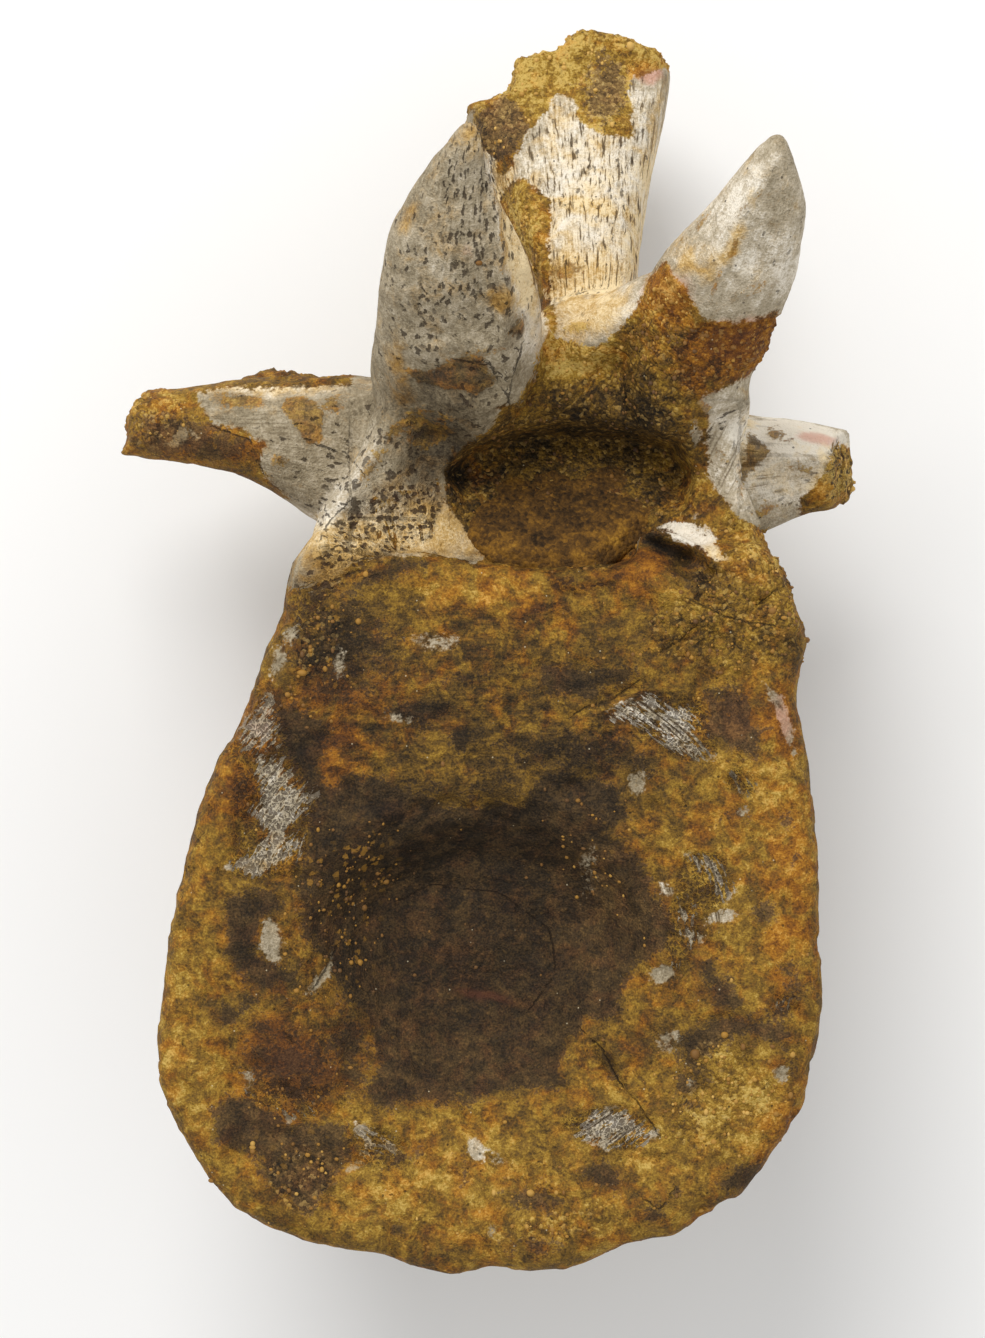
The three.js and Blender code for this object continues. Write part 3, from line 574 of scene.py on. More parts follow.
# The least and the most that the strewn markings of these kinds reach
MASKS = {"pale": (-1, 1), "brown": (-1, 1), "sand": (-1, 1), "porous": (-1, 1), "stain": (-1, 1),
         "fleck": (0, 1)}
# Thin cracks: the corners of each one
CRACKS = {
    "laminae": [(760, 602), (772, 594), (784, 586)],
    "laminae slit": [(663, 650), (678, 642), (693, 628)],
    "laminae fine": [(690, 600), (730, 618), (780, 628)],
    "band": [(572, 716), (590, 706), (612, 700), (640, 680)],
    "low": [(581, 1030), (602, 1049), (610, 1066), (619, 1083), (636, 1100), (657, 1133)],
    "horn foot": [(456, 358), (489, 366), (500, 374)],
    "horn spur": [(489, 364), (500, 384), (508, 403)],
    "horn facet": [(522, 345), (512, 380), (508, 403)],
    "pedicel": [(318, 446), (345, 452), (362, 472)],
    "pedicel lower": [(352, 500), (330, 520), (322, 536)],
    "process": [(215, 428), (250, 440), (262, 470)],
    "ring": [(400, 900), (430, 885), (500, 893), (550, 930), (556, 975), (530, 1008)],
    "rim": [(645, 1200), (660, 1210), (672, 1192)],
    "left sliver": [(338, 945), (326, 970), (310, 996)],
}
# Shaping strokes: a path of pixels, its half width in millimetres, and how far it stands out there
STROKES = {
    "ledge under the canal": ([(470, 560), (510, 568), (560, 578), (612, 574)], 2.4, 1.4),
    "band below the ledge": ([(400, 596), (520, 612), (620, 612)], 6.0, -1.0),
    "shoulder ridge": ([(656, 524), (690, 526), (722, 542), (742, 562)], 3.6, 0.9),
    "shoulder slot": ([(645, 541), (660, 546), (686, 558)], 1.7, -3.4),
    "slot tail": ([(686, 560), (712, 572)], 2.2, -1.6),
    "pink lump": ([(628, 560), (650, 580)], 3.4, 1.4),
    "lump ridge": ([(655, 590), (690, 604), (712, 622)], 1.8, 1.1),
    "shoulder rise": ([(745, 560), (775, 590), (790, 620)], 4.0, 1.2),
    "shoulder step": ([(760, 604), (786, 588)], 1.2, -1.6),
    "lamina slit": ([(663, 650), (678, 642), (693, 628)], 0.9, -1.2),
    "band slit": ([(572, 716), (594, 705), (640, 684)], 0.9, -0.9),
    "low crack": ([(598, 1045), (612, 1072), (622, 1088)], 1.1, -1.6),
    "low crack end": ([(622, 1088), (657, 1133)], 0.8, -0.7),
    "horn rim": ([(480, 132), (488, 160), (495, 200), (501, 245), (505, 300), (503, 345)], 1.3, 2.8),
    "horn face hollow": ([(462, 180), (474, 250), (478, 320)], 4.5, -1.6),
    "horn side hollow": ([(506, 190), (516, 240), (524, 290), (530, 330)], 2.2, -2.4),
    "horn inner edge": ([(500, 190), (520, 240), (532, 280), (545, 322), (540, 358), (526, 388)], 1.1, 0.8),
    "horn left edge": ([(444, 150), (420, 200), (398, 260)], 2.0, 0.7),
    "horn lower lip": ([(392, 330), (420, 352), (470, 344), (498, 362)], 2.0, 1.0),
    "horn foot crease": ([(404, 360), (430, 370), (470, 364), (494, 378)], 1.5, -1.9),
    "horn root hollow": ([(420, 380), (480, 388)], 3.4, -2.0),
    "horn lobe": ([(455, 410), (480, 420)], 5.0, 1.5),
    "horn drip": ([(512, 360), (510, 396)], 2.4, 1.3),
    "right pedicel edge": ([(322, 532), (350, 490), (386, 432), (396, 390)], 2.4, 1.8),
    "right pedicel hollow": ([(420, 470), (440, 440)], 5.0, -2.4),
    "pedicel side hollow": ([(352, 440), (330, 480)], 5.0, -1.2),
    "process top ridge": ([(196, 392), (240, 380), (330, 376), (356, 366)], 1.6, 1.4),
    "process groove": ([(190, 402), (260, 398), (340, 396)], 2.0, -1.0),
    "process ledge": ([(215, 412), (262, 436), (268, 478), (314, 512)], 1.4, 0.6),
    "left process edge": ([(760, 462), (790, 459), (828, 459)], 1.3, 1.5),
    "left process face": ([(755, 492), (805, 484)], 4.5, -1.6),
    "left process top": ([(770, 436), (835, 446)], 2.4, -0.8),
    "left pedicel edge": ([(750, 400), (738, 450), (745, 500)], 2.2, 1.6),
    "left pedicel hollow": ([(765, 430), (758, 462)], 2.0, -1.6),
    "left pedicel flank": ([(700, 440), (706, 490)], 4.0, -1.0),
    "cap fold": ([(770, 160), (742, 215), (706, 278)], 2.5, 1.0),
    "cap hollow": ([(720, 210), (680, 260)], 4.0, -0.8),
    "cap side hollow": ([(782, 200), (765, 260)], 3.5, -0.8),
    "lower left hollow": ([(232, 1090), (262, 1150), (320, 1195)], 7.0, -1.8),
    "lower left swell": ([(330, 1110), (370, 1170), (420, 1200)], 6.0, 0.8),
    "left rim step": ([(226, 872), (252, 810), (246, 750), (268, 690)], 2.4, -1.4),
    "left knobs": ([(296, 620), (286, 660), (280, 684)], 2.2, 1.2),
    "ring": ([(400, 900), (430, 885), (500, 893), (550, 930), (556, 975), (530, 1008)], 1.4, -0.5),
    "pit lip": ([(360, 805), (430, 800), (520, 812), (600, 778)], 3.0, -0.9),
    "spine groove": ([(548, 190), (556, 290)], 2.6, -1.2),
    "spine rib": ([(548, 201), (584, 206), (602, 212)], 1.0, 1.0),
    "spine edge": ([(662, 80), (650, 180), (636, 290)], 1.6, 0.8),
    "spine hollow": ([(630, 150), (615, 280)], 4.0, -0.9),
    "spine crust edge": ([(545, 112), (573, 98), (590, 126), (628, 134)], 2.0, 0.6),
    "spine side lump": ([(515, 200), (530, 260)], 3.5, 1.4),
    "crust roof": ([(452, 446), (500, 418), (560, 410), (640, 416), (690, 440)], 4.5, 2.4),
}
# Small shifts of the outline: (x, y, reach in pixels, millimetres to the right, millimetres up)
NUDGES = {
    "right horn crown": (432, 142, 24, 1.6, -0.8),
    "right horn shoulder": (412, 200, 26, 1.2, -0.4),
    "right horn brow": (420, 170, 18, 1.2, -0.3),
    "right horn side": (381, 290, 30, -0.6, 0.0),
    "left horn inner edge": (700, 205, 50, 0.8, -0.8),
    "left horn tip": (778, 136, 16, 0.2, 0.6),
    "left horn tip side": (802, 170, 28, -0.7, -0.2),
    "left horn outer edge": (796, 275, 34, 1.3, 0.0),
    "under the left horn": (762, 380, 26, -2.6, 0.0),
    "left neck of the arch": (772, 530, 18, -1.2, -0.6),
    "right process tip": (116, 452, 24, 3.2, 1.0),
    "right process under": (235, 482, 60, 0.0, 0.9),
    "right process top": (310, 374, 34, 0.0, -0.8),
    "left process end": (850, 445, 26, -1.0, -0.8),
    "left process under": (810, 522, 36, -0.6, 1.1),
    "right waist": (262, 665, 30, -1.5, 0.0),
    "right waist high": (305, 560, 26, -1.2, 0.4),
    "right body": (180, 850, 60, 0.6, 0.0),
    "left waist": (800, 692, 34, -1.7, 0.0),
    "left shoulder": (795, 590, 26, -0.8, -0.4),
    "left body": (818, 930, 60, -1.2, 0.0),
    "lower left body": (800, 1110, 40, 1.3, -0.6),
    "right foot": (162, 1080, 30, -1.1, 0.0),
    "foot": (285, 1232, 50, 0.0, 0.7),
    "foot left": (630, 1248, 46, -0.4, 1.7),
    "foot chip": (560, 1272, 20, 0.0, 1.0),
    "spine top": (605, 34, 40, 0.0, -1.1),
    "spine top corner": (505, 75, 14, 1.0, -0.6),
    "spine notch": (478, 104, 12, -2.4, 0.6),
    "spine edge": (655, 180, 60, -1.3, 0.0),
}
# Where sand fills the mouth of the nerve canal, and how its surface slopes back from the centrum
CANAL = [(446, 470), (470, 446), (520, 428), (600, 424), (672, 436), (694, 468), (690, 505), (652, 524),
         (625, 545), (596, 566), (500, 560), (470, 532)]
CANAL_MIDDLE = (16.0, 92.0)
FLARE = (0.45, 0.3)  # how much wider the sand's front gets than its solid, across and up
FLARE_Z = (60, 80)
SAND_LOW_EDGE = 77.0
SAND_FRONT = 96.5
SAND_SLOPE = 0.65
SAND_FACE_Z = (66, 84)
UNDER_SAND = 1.2  # how far the bone lies below the surface of the sand
SOLID_SAND_Z = 86  # about where the front of its solid is
SAND_VOXELS = (1.0 * MM, 0.75 * MM)
# The plug for the hollow in the solids of the shoulder
SHOULDER_FILL = Vector((41.5, 77.0, 90.0))
SHOULDER_FILL_HALF = Vector((11.0, 5.4, 11.0))
SHOULDER_FILL_TURN = -0.5
# How far the solids swell before they are joined, and the distance between the points of the first skin
SWELL = 0.3 * MM
COARSE_VOXEL = 1.1 * MM
# The white cap of the left horn stands above the crust by this much.
CAP_STEP = 1.3
# Fibres of the bone run towards or round these pixels: (x, y, how far away their spacing is true in mm).
FIBRE_CENTRES = {"face": (480, 950, 45), "right horn": (482, 40, 45), "left horn": (830, 60, 45),
                 "right process": (40, 420, 60), "left process": (960, 455, 40), "spine": (590, 600, 90)}


class BoneSettings(bpy.types.PropertyGroup):
    """Sizes of the bone"""

    voxel: FloatProperty(name="Point distance", description="Distance between the points of the bone's skin",
                         default=0.78 * MM, min=0.6 * MM, max=4 * MM, unit="LENGTH", subtype="DISTANCE")
    rounding: IntProperty(name="Rounding", description="How often the flat faces are smoothed together",
                          default=16, min=0, max=80)
    wear: FloatProperty(name="Wear", description="Height of the rough lumps that weather leaves",
                        default=0.35 * MM, min=0.0, max=2 * MM, unit="LENGTH", subtype="DISTANCE")


class SandSettings(bpy.types.PropertyGroup):
    """Sizes of the hardened sand"""

    grain: FloatProperty(name="Grain size", description="Width of the grains that stand out",
                         default=1.0 * MM, min=0.3 * MM, max=3 * MM, unit="LENGTH", subtype="DISTANCE")
    loose: IntProperty(name="Loose grains", description="How many single grains stick to the bone",
                       default=1600, min=0, max=4000)


class StageSettings(bpy.types.PropertyGroup):
    """Light of the studio"""

    key: FloatProperty(name="Key light", description="Strength of the large soft light",
                       default=12.0, min=0.0, unit="POWER")
    fill: FloatProperty(name="Surroundings", description="Strength of the light from all round", default=0.8,
                        min=0.0)


def linear(colour):
    """An sRGB hex colour as linear red, green, blue and alpha."""
    parts = [int(colour[i:i + 2], 16) / 255 for i in (1, 3, 5)]
    return [v / 12.92 if v <= 0.04045 else ((v + 0.055) / 1.055) ** 2.4 for v in parts] + [1.0]


# Noise

def lattice(cell, seed):
    """A number from 0 to 1 for each whole-number cell, the same at every run."""
    with np.errstate(over="ignore"):
        h = (cell[..., 0].astype(np.uint32) * np.uint32(374761393)
             ^ cell[..., 1].astype(np.uint32) * np.uint32(668265263)
             ^ cell[..., 2].astype(np.uint32) * np.uint32(2147483647)
             ^ np.uint32(seed * 97 + 13) * np.uint32(1274126177))
        h = (h ^ (h >> np.uint32(13))) * np.uint32(1103515245)
        h = (h ^ (h >> np.uint32(15))) * np.uint32(2246822519)
    return (h ^ (h >> np.uint32(16))) / 4294967295.0


def noise(points, size, seed=0):
    """Smooth lumps about as wide as size, from -1 to 1."""
    scaled = points / size
    cell = np.floor(scaled).astype(np.int64)
    part = scaled - cell
    ease = part * part * (3 - 2 * part)
    total = np.zeros(len(points))
    for corner in np.ndindex(2, 2, 2):
        weight = np.prod(np.where(corner, ease, 1 - ease), axis=1)
        total += weight * lattice(cell + corner, seed)
    return 2 * total - 1


def fractal(points, size, seed=0, octaves=3):
    """Lumps with smaller lumps on them."""
    return sum(noise(points, size / 2 ** k, seed + 31 * k) / 2 ** k for k in range(octaves)) / 1.6


def cells(points, size, seed=0):
    """How far each point is from the nearest of a scatter of seeds, as a share of size."""
    scaled = points / size
    cell = np.floor(scaled).astype(np.int64)
    best = np.full(len(points), 9.0)
    for step in np.ndindex(3, 3, 3):
        near = cell + np.array(step) - 1
        place = near + np.stack([lattice(near, seed + k) for k in range(3)], axis=1)
        best = np.minimum(best, np.linalg.norm(place - scaled, axis=1))
    return best


def step_up(value, low, high):
    """0 below low and 1 above high, with an even rise between."""
    t = np.clip((value - low) / (high - low), 0, 1)
    return t * t * (3 - 2 * t)


# Places on the photo

def own(points):
    """World points in metres as the vertebra's own millimetres."""
    return (points - np.array(MIDDLE)) / MM


def seen(p):
    """Where the camera sees points given in the vertebra's own millimetres, in pixels of the photo."""
    nearer = CAMERA_REACH / (CAMERA_PLACE.z - p[:, 2])
    u = PHOTO_SIZE[0] / 2 + PIXELS_PER_MM * nearer * (p[:, 0] - CAMERA_PLACE.x)
    v = PHOTO_SIZE[1] / 2 - PIXELS_PER_MM * nearer * (p[:, 1] - CAMERA_PLACE.y)
    return np.stack([u, v], axis=1)


def to_segment(uv, p, q):
    """How far each point is from a straight line, and on which side."""
    along = q - p
    off = uv - p
    t = np.clip((off @ along) / max(along @ along, 1e-9), 0, 1)
    side = np.sign(along[0] * off[:, 1] - along[1] * off[:, 0])
    return np.linalg.norm(off - t[:, None] * along, axis=1), side


def nearest(measured):
    """The least of several distances at each point, with the side that belongs to it."""
    away, side = next(measured)
    for distance, hand in measured:
        closer = distance < away
        away = np.where(closer, distance, away)
        side = np.where(closer, hand, side)
    return away, side


def to_path(uv, path):
    """How far each point is from a path, and on which side."""
    corners = np.array(path, float)
    return nearest(to_segment(uv, a, b) for a, b in zip(corners[:-1], corners[1:]))


def inside_outline(uv, corners):
    """Distance to the edge of an outline, in pixels, positive inside."""
    a = np.array(corners, float)
    away, _ = to_path(uv, [*corners, corners[0]])
    crossings = np.zeros(len(uv), int)
    for p, q in zip(a, np.roll(a, -1, axis=0)):
        spans = (p[1] > uv[:, 1]) != (q[1] > uv[:, 1])
        rise = q[1] - p[1] if q[1] != p[1] else 1e-9
        crossings += spans & (uv[:, 0] < (q[0] - p[0]) * (uv[:, 1] - p[1]) / rise + p[0])
    return np.where(crossings % 2, away, -away)


def reach_in_oval(uv, x, y, half_width, half_height, turn):
    """0 at the middle of an oval and 1 on its edge."""
    c, s = math.cos(math.radians(turn)), math.sin(math.radians(turn))
    du, dv = uv[:, 0] - x, uv[:, 1] - y
    return np.hypot((c * du + s * dv) / half_width, (c * dv - s * du) / half_height)


def inside(uv, patch):
    """How strongly one crisp patch shows: 1 well inside, 0 at its edge, -1 well outside."""
    if isinstance(patch, tuple):
        value = (1 - reach_in_oval(uv, *patch[:5])) * min(patch[2:4]) / EDGE
        return np.clip(np.where(value > 0, value * patch[5], value), -1, 1)
    corners = np.array(patch)
    value = np.full(len(uv), -1.0)
    close = np.all((uv > corners.min(0) - EDGE) & (uv < corners.max(0) + EDGE), axis=1)
    if close.any():
        value[close] = np.clip(inside_outline(uv[close], patch) / EDGE, -1, 1)
    return value


def allowed(name, behind):
    """Markings of the spine show only on what is behind the horns."""
    return behind | (not name.startswith("spine"))


def crisp(uv, patches, behind):
    """The strongest crisp marking at each point."""
    found = [np.where(allowed(name, behind), inside(uv, patch), -1.0) for name, patch in patches.items()]
    return np.max(found, axis=0)


def soft(uv, ovals, behind=True):
    """The sum of the soft markings at each point."""
    total = np.zeros(len(uv))
    for name, (*oval, amount) in ovals.items():
        total += amount * np.exp(-(reach_in_oval(uv, *oval) ** 3)) * allowed(name, behind)
    return total


def facing(p, normals):
    """1 where the surface faces the camera, and 0 on the sides and the back."""
    low = -0.15 - 0.4 * step_up(p[:, 1], *ARCH_SIDE_Y)
    return step_up(normals[:, 2], low, low + 0.27) * step_up(p[:, 2], *MARKED_Z)


def markings(p, normals):
    """All markings of the bone's surface, one number per point for each kind."""
    front = facing(p, normals)
    uv = seen(p)
    warped = uv + np.stack([6 * fractal(p, 11, seed) + 3 * noise(p, 3, seed + 2) for seed in (5, 6)], axis=1)
    on_arch = step_up(p[:, 1], *ARCH_Y)
    behind = (p[:, 1] > BEHIND_HORNS[0]) & (p[:, 2] < BEHIND_HORNS[1])
    # What faces away from the camera has the same kinds of marking, strewn at random.
    found = {}
    for kind, (table, base, amount, width, seed, middle, arch) in KINDS.items():
        if base is None:
            placed = crisp(warped, table, behind)
        else:
            placed = base + soft(warped, table, behind)
        strewn = amount * fractal(p, width, seed) + middle + arch * on_arch
        if kind in MASKS:
            strewn = np.clip(strewn, *MASKS[kind])
        found[kind] = front * placed + (1 - front) * strewn
    # The walls of the canal's mouth and its rear end are sand as well.
    mouth = canal_mouth(uv, p)
    (x, y), (across, up) = REAR_CANAL
    rear = step_up(1.1 - np.hypot((p[:, 0] - x) / across, (p[:, 1] - y) / up), -0.1, 0.1)
    rear *= step_up(MARKED_Z[1] - p[:, 2], 0, 8)
    for kind, value in (("sand", 1.0), ("pale", -1.0), ("fleck", 0.1), ("pits", 0.0), ("porous", -1.0),
                        ("stain", -1.0)):
        found[kind] += np.maximum(mouth, rear) * (value - found[kind])
    found["tone"] = np.minimum(found["tone"], 0.9 - 0.45 * mouth)
    # The nearest thin crack: on which side of it and how far away, in millimetres
    away, side = nearest(to_path(uv, path) for path in CRACKS.values())
    away = np.where(front > 0.5, np.minimum(away / PIXELS_PER_MM, 4), 4)
    found["crack"] = away * side
    found["crack_away"] = away
    return found


def canal_mouth(uv, p):
    """1 inside the mouth of the nerve canal and on its walls."""
    return step_up(inside_outline(uv, CANAL), -8, 6) * step_up(p[:, 2], *MOUTH_Z)


def fibre_coordinates(p, normals):
    """Millimetres across and along the fibres, and in depth, at each point."""
    uv = seen(p)
    front = facing(p, normals) > 0.5
    # On the sides of the body the fibres run from front to back.
    result = np.stack([50 * np.arctan2(p[:, 0], p[:, 1]), p[:, 2], np.zeros(len(p))], axis=1)
    u, v = uv.T
    on_arch = p[:, 1] > ARCH_BASE_Y
    horn = on_arch & (p[:, 2] > HORN_Z)
    where = {
        "face": front & ~on_arch,
        "right horn": horn & (u > RIGHT_PROCESS_U) & (u < HORNS_PART_U) & (v < RIGHT_HORN_FOOT_V),
        "left horn": horn & (u >= HORNS_PART_U) & (v < LEFT_HORN_FOOT_V),
        "right process": on_arch & (u <= RIGHT_PROCESS_U),
        "left process": on_arch & (u > LEFT_PROCESS_U) & (v > LEFT_HORN_FOOT_V),
        "spine": (p[:, 1] > SPINE[0]) & (p[:, 2] < SPINE[1]),
    }
    for name, (x, y, reach) in FIBRE_CENTRES.items():
        chosen = where[name]
        offset = (uv[chosen] - (x, y)) / PIXELS_PER_MM
        radius = np.linalg.norm(offset, axis=1)
        round_it = np.arctan2(offset[:, 1], offset[:, 0]) * reach
        pair = (radius, round_it) if name == "face" else (round_it, radius)
        result[chosen] = np.stack([*pair, p[chosen, 2]], axis=1)
    return result


# Meshes

def points_of(mesh):
    """The place of each point, as rows."""
    flat = np.empty(3 * len(mesh.vertices), np.float32)
    mesh.vertices.foreach_get("co", flat)
    return flat.reshape(-1, 3).astype(float)


def normals_of(mesh):
    """The way the surface faces at each point, as rows."""
    flat = np.empty(3 * len(mesh.vertices), np.float32)
    mesh.vertex_normals.foreach_get("vector", flat)
    return flat.reshape(-1, 3).astype(float)


def set_points(mesh, points):
    mesh.vertices.foreach_set("co", points.astype(np.float32).ravel())
    mesh.update()


def even_out(mesh, rounds):
    """Smooths a mesh without shrinking it: each step in is followed by a step out."""
    pairs = np.empty(2 * len(mesh.edges), np.int32)
    mesh.edges.foreach_get("vertices", pairs)
    a, b = pairs.reshape(-1, 2).T
    points = points_of(mesh)
    count = len(points)
    neighbours = np.bincount(a, minlength=count) + np.bincount(b, minlength=count)
    for _ in range(rounds):
        for share in (0.5, -0.53):
            total = np.stack([np.bincount(a, points[b, k], count) + np.bincount(b, points[a, k], count)
                              for k in range(3)], axis=1)
            points += share * (total / neighbours[:, None] - points)
    set_points(mesh, points)


def only(*objects):
    """Selects these objects alone and makes the first one active."""
    bpy.ops.object.select_all(action="DESELECT")
    for item in objects:
        item.select_set(True)
    bpy.context.view_layer.objects.active = objects[0]


def copy_of(nodes, name):
    """One object from copies of CAD nodes, with the loose triangles of each joined up."""
    copies = []
    for node in nodes:
        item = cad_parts[node].copy()
        item.data = item.data.copy()
        item.data.materials.clear()
        item.parent = None
        item.hide_render = False
        bpy.context.scene.collection.objects.link(item)
        copies.append(item)
    only(*copies)
    if len(copies) > 1:
        bpy.ops.object.join()
    joined = bpy.context.view_layer.objects.active
    joined.name = name
    joined.data.name = name
    bpy.ops.object.mode_set(mode="EDIT")
    bpy.ops.mesh.select_all(action="SELECT")
    bpy.ops.mesh.remove_doubles(threshold=0.002 * MM)
    bpy.ops.object.mode_set(mode="OBJECT")
    return joined


def apply(item, kind, **settings):
    """Adds a modifier, sets it up and applies it."""
    only(item)
    modifier = item.modifiers.new(kind.title(), kind)
    for name, value in settings.items():
        setattr(modifier, name, value)
    bpy.ops.object.modifier_apply(modifier=modifier.name)


def keep(mesh, values):
    """Stores one number per point for the materials to read."""
    for name, numbers in values.items():
        if numbers.ndim == 1:
            mesh.attributes.new(name, "FLOAT", "POINT").data.foreach_set("value", numbers.astype(np.float32))
        else:
            layer = mesh.attributes.new(name, "FLOAT_VECTOR", "POINT")
            layer.data.foreach_set("vector", numbers.astype(np.float32).ravel())


def finish_piece(item, material, slot, *nodes):
    """Gives a piece its material, and tells the frame where it belongs and which nodes it replaces."""
    item.data.materials.clear()
    item.data.materials.append(material)
    only(item)
    bpy.ops.object.shade_smooth()
    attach(item, "root")
    if nodes:
        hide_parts(*nodes)


# Shape

def sand_level(p):
    """Height of the sand's surface in the canal's mouth."""
    return SAND_FRONT - SAND_SLOPE * (p[:, 1] - SAND_LOW_EDGE)


def nudged(p):
    """The outline brought to where the camera sees it."""
    uv = seen(p)
    moved = p.copy()
    for x, y, reach, right, up in NUDGES.values():
        share = np.exp(-((uv[:, 0] - x) ** 2 + (uv[:, 1] - y) ** 2) / reach ** 2)
        moved[:, :2] += share[:, None] * (right, up)
    return moved


def shaped(p, normals):
    """The smooth bone with its larger features carved: the canal's mouth and the listed strokes."""
    uv = seen(p) + 3 * np.stack([noise(p, 5, 8), noise(p, 5, 9)], axis=1)
    front = step_up(normals[:, 2], -0.1, 0.2) * step_up(p[:, 2], *CARVED_Z)
    moved = p.copy()
    mouth = step_up(inside_outline(uv, CANAL), -4, 10) * step_up(p[:, 2], *MOUTH_Z) * front
    floor = sand_level(p) - UNDER_SAND
    moved[:, 2] = np.where(p[:, 2] > floor, p[:, 2] + mouth * (floor - p[:, 2]), p[:, 2])
    height = np.zeros(len(p))
    for path, half_width, amount in STROKES.values():
        away, _ = to_path(uv, path)
        height += amount * np.exp(-((away / (half_width * PIXELS_PER_MM)) ** 2))
    height *= 1 + 0.25 * noise(p, 6, 41)
    moved[:, 2] += front * height
    return moved


def cavities(p, normals, marks):
    """How strongly the wide cavities of the arch's spongy foot show."""
    return step_up(marks["porous"], -0.2, 0.4) * step_up(p[:, 1], *SPONGY_FOOT_Y) * facing(p, normals)


def relief(p, normals, marks, wear):
    """How far the bone's surface stands out of its smooth form, in millimetres."""
    uv = seen(p)
    front = facing(p, normals)
    ragged = 0.35 * noise(p, 2.5, 21) + 0.2 * noise(p, 1.3, 22)
    sand = step_up(marks["sand"] + ragged, 0.0, 0.35)
    pale = step_up(marks["pale"] + ragged, 0.0, 0.3)
    porous = step_up(marks["porous"] + ragged, 0.0, 0.4)
    brown = step_up(marks["brown"] + ragged, 0.0, 0.3)
    on_face = step_up(FACE_TOP_Y - p[:, 1], 0, 8) * front
    bare = pale * (1 - sand)
    height = wear * (0.9 * fractal(p, 7, 23, 4) + 0.5 * noise(p, 1.7, 24)) * (1 - 0.5 * bare * (1 - on_face))
    # Spongy bone shows where the stained skin of the face has flaked off.
    height -= FLAKED * pale * on_face
    height += STAIN_CRUST * brown
    lines = fibre_coordinates(p, normals)
    pit = np.clip(marks["pits"], 0, 1) * bare * step_up(0.34 - cells(lines * (1, 0.5, 0.6), 2.4, 31), 0, 0.16)
    height -= marks["cavity"] * (0.3 + 0.7 * noise(p, 2.2, 35)) + PIT * pit
    height -= porous * on_face * (0.2 + 0.7 * step_up(0.5 - cells(p, 1.8, 25), 0, 0.3))
    height += sand * (0.3 + 0.6 * step_up(0.6 - cells(p, 1.9, 26), 0, 0.5) + 0.5 * noise(p, 4, 27))
    height += FLECK * np.clip(marks["fleck"], 0, 1) * step_up(0.42 - cells(p, 2.6, 28), 0, 0.3)
    # Fibres of the spine, and weathered layers on the face
    height += FIBRE * np.clip(marks["fibre"], 0, 1) * bare * fractal(lines / (1, 7, 7), 1.5, 29, 2)
    height += LAYERS * on_face * (1 - pale) * fractal(p * (0.25, 1, 1), 4, 33, 3)
    layers = (0.93 * uv[:, 1] - 0.37 * uv[:, 0]) / PIXELS_PER_MM + 1.2 * noise(p, 9, 34)
    zone = np.exp(-(reach_in_oval(uv, *LAMINAE) ** 3)) * front
    height += LAMINA * zone * (np.mod(layers / LAMINA_SPACING, 1.0) - 0.5)
    # The chipped rim of the face
    rim = np.exp(-(((p[:, 2] - RIM_Z) / 5) ** 2)) * step_up(ARCH_BASE_Y - p[:, 1], 0, 8)
    height -= RIM_CHIPS * rim * step_up(fractal(p, 5, 30), 0.05, 0.6)
    # The crust of the left horn lies lower than its white cap.
    cap = inside_outline(uv, PALE["left horn cap"])
    crust = step_up(-cap, 0, 3) * np.exp(-(reach_in_oval(uv, *HORN_CRUST) ** 4))
    return height - CAP_STEP * crust * step_up(p[:, 1], *CAP_Y) * front


def one_skin(settings):
    """All the solids under one smooth skin."""
    bone = copy_of([*BONE_NODES, SAND_NODE], "bone")
    # The hollow in the shoulder's solid is filled, and carved again with its torn edge.
    bpy.ops.object.select_all(action="DESELECT")
    bpy.ops.mesh.primitive_cylinder_add(vertices=32, radius=1.0, depth=2.0,
                                        location=MIDDLE + SHOULDER_FILL * MM)
    plug = bpy.context.object
    plug.scale = SHOULDER_FILL_HALF * MM
    plug.rotation_euler = (0, 0, SHOULDER_FILL_TURN)
    only(bone, plug)
    bpy.ops.object.join()
    # The parts swell until their gaps close, and the joined skin goes back by as much.
    apply(bone, "DISPLACE", strength=SWELL, mid_level=0.0)
    apply(bone, "REMESH", mode="VOXEL", voxel_size=COARSE_VOXEL)
    even_out(bone.data, settings.rounding)
    apply(bone, "REMESH", mode="VOXEL", voxel_size=settings.voxel)
    even_out(bone.data, 3)
    apply(bone, "DISPLACE", strength=-SWELL, mid_level=0.0)
    return bone


def thin_out(item, plain):
    """Takes points away where the surface is plain, until the piece has few enough triangles."""
    group = item.vertex_groups.new(name="plain")
    levels = 5
    for level in range(levels):
        chosen = np.flatnonzero((plain * (levels - 0.001)).astype(int) == level)
        group.add(chosen.tolist(), (level + 1) / levels, "REPLACE")
    triangles = sum(len(face.vertices) - 2 for face in item.data.polygons)
    if triangles > MOST_TRIANGLES:
        apply(item, "DECIMATE", ratio=MOST_TRIANGLES / triangles, vertex_group="plain",
              vertex_group_factor=0.02)


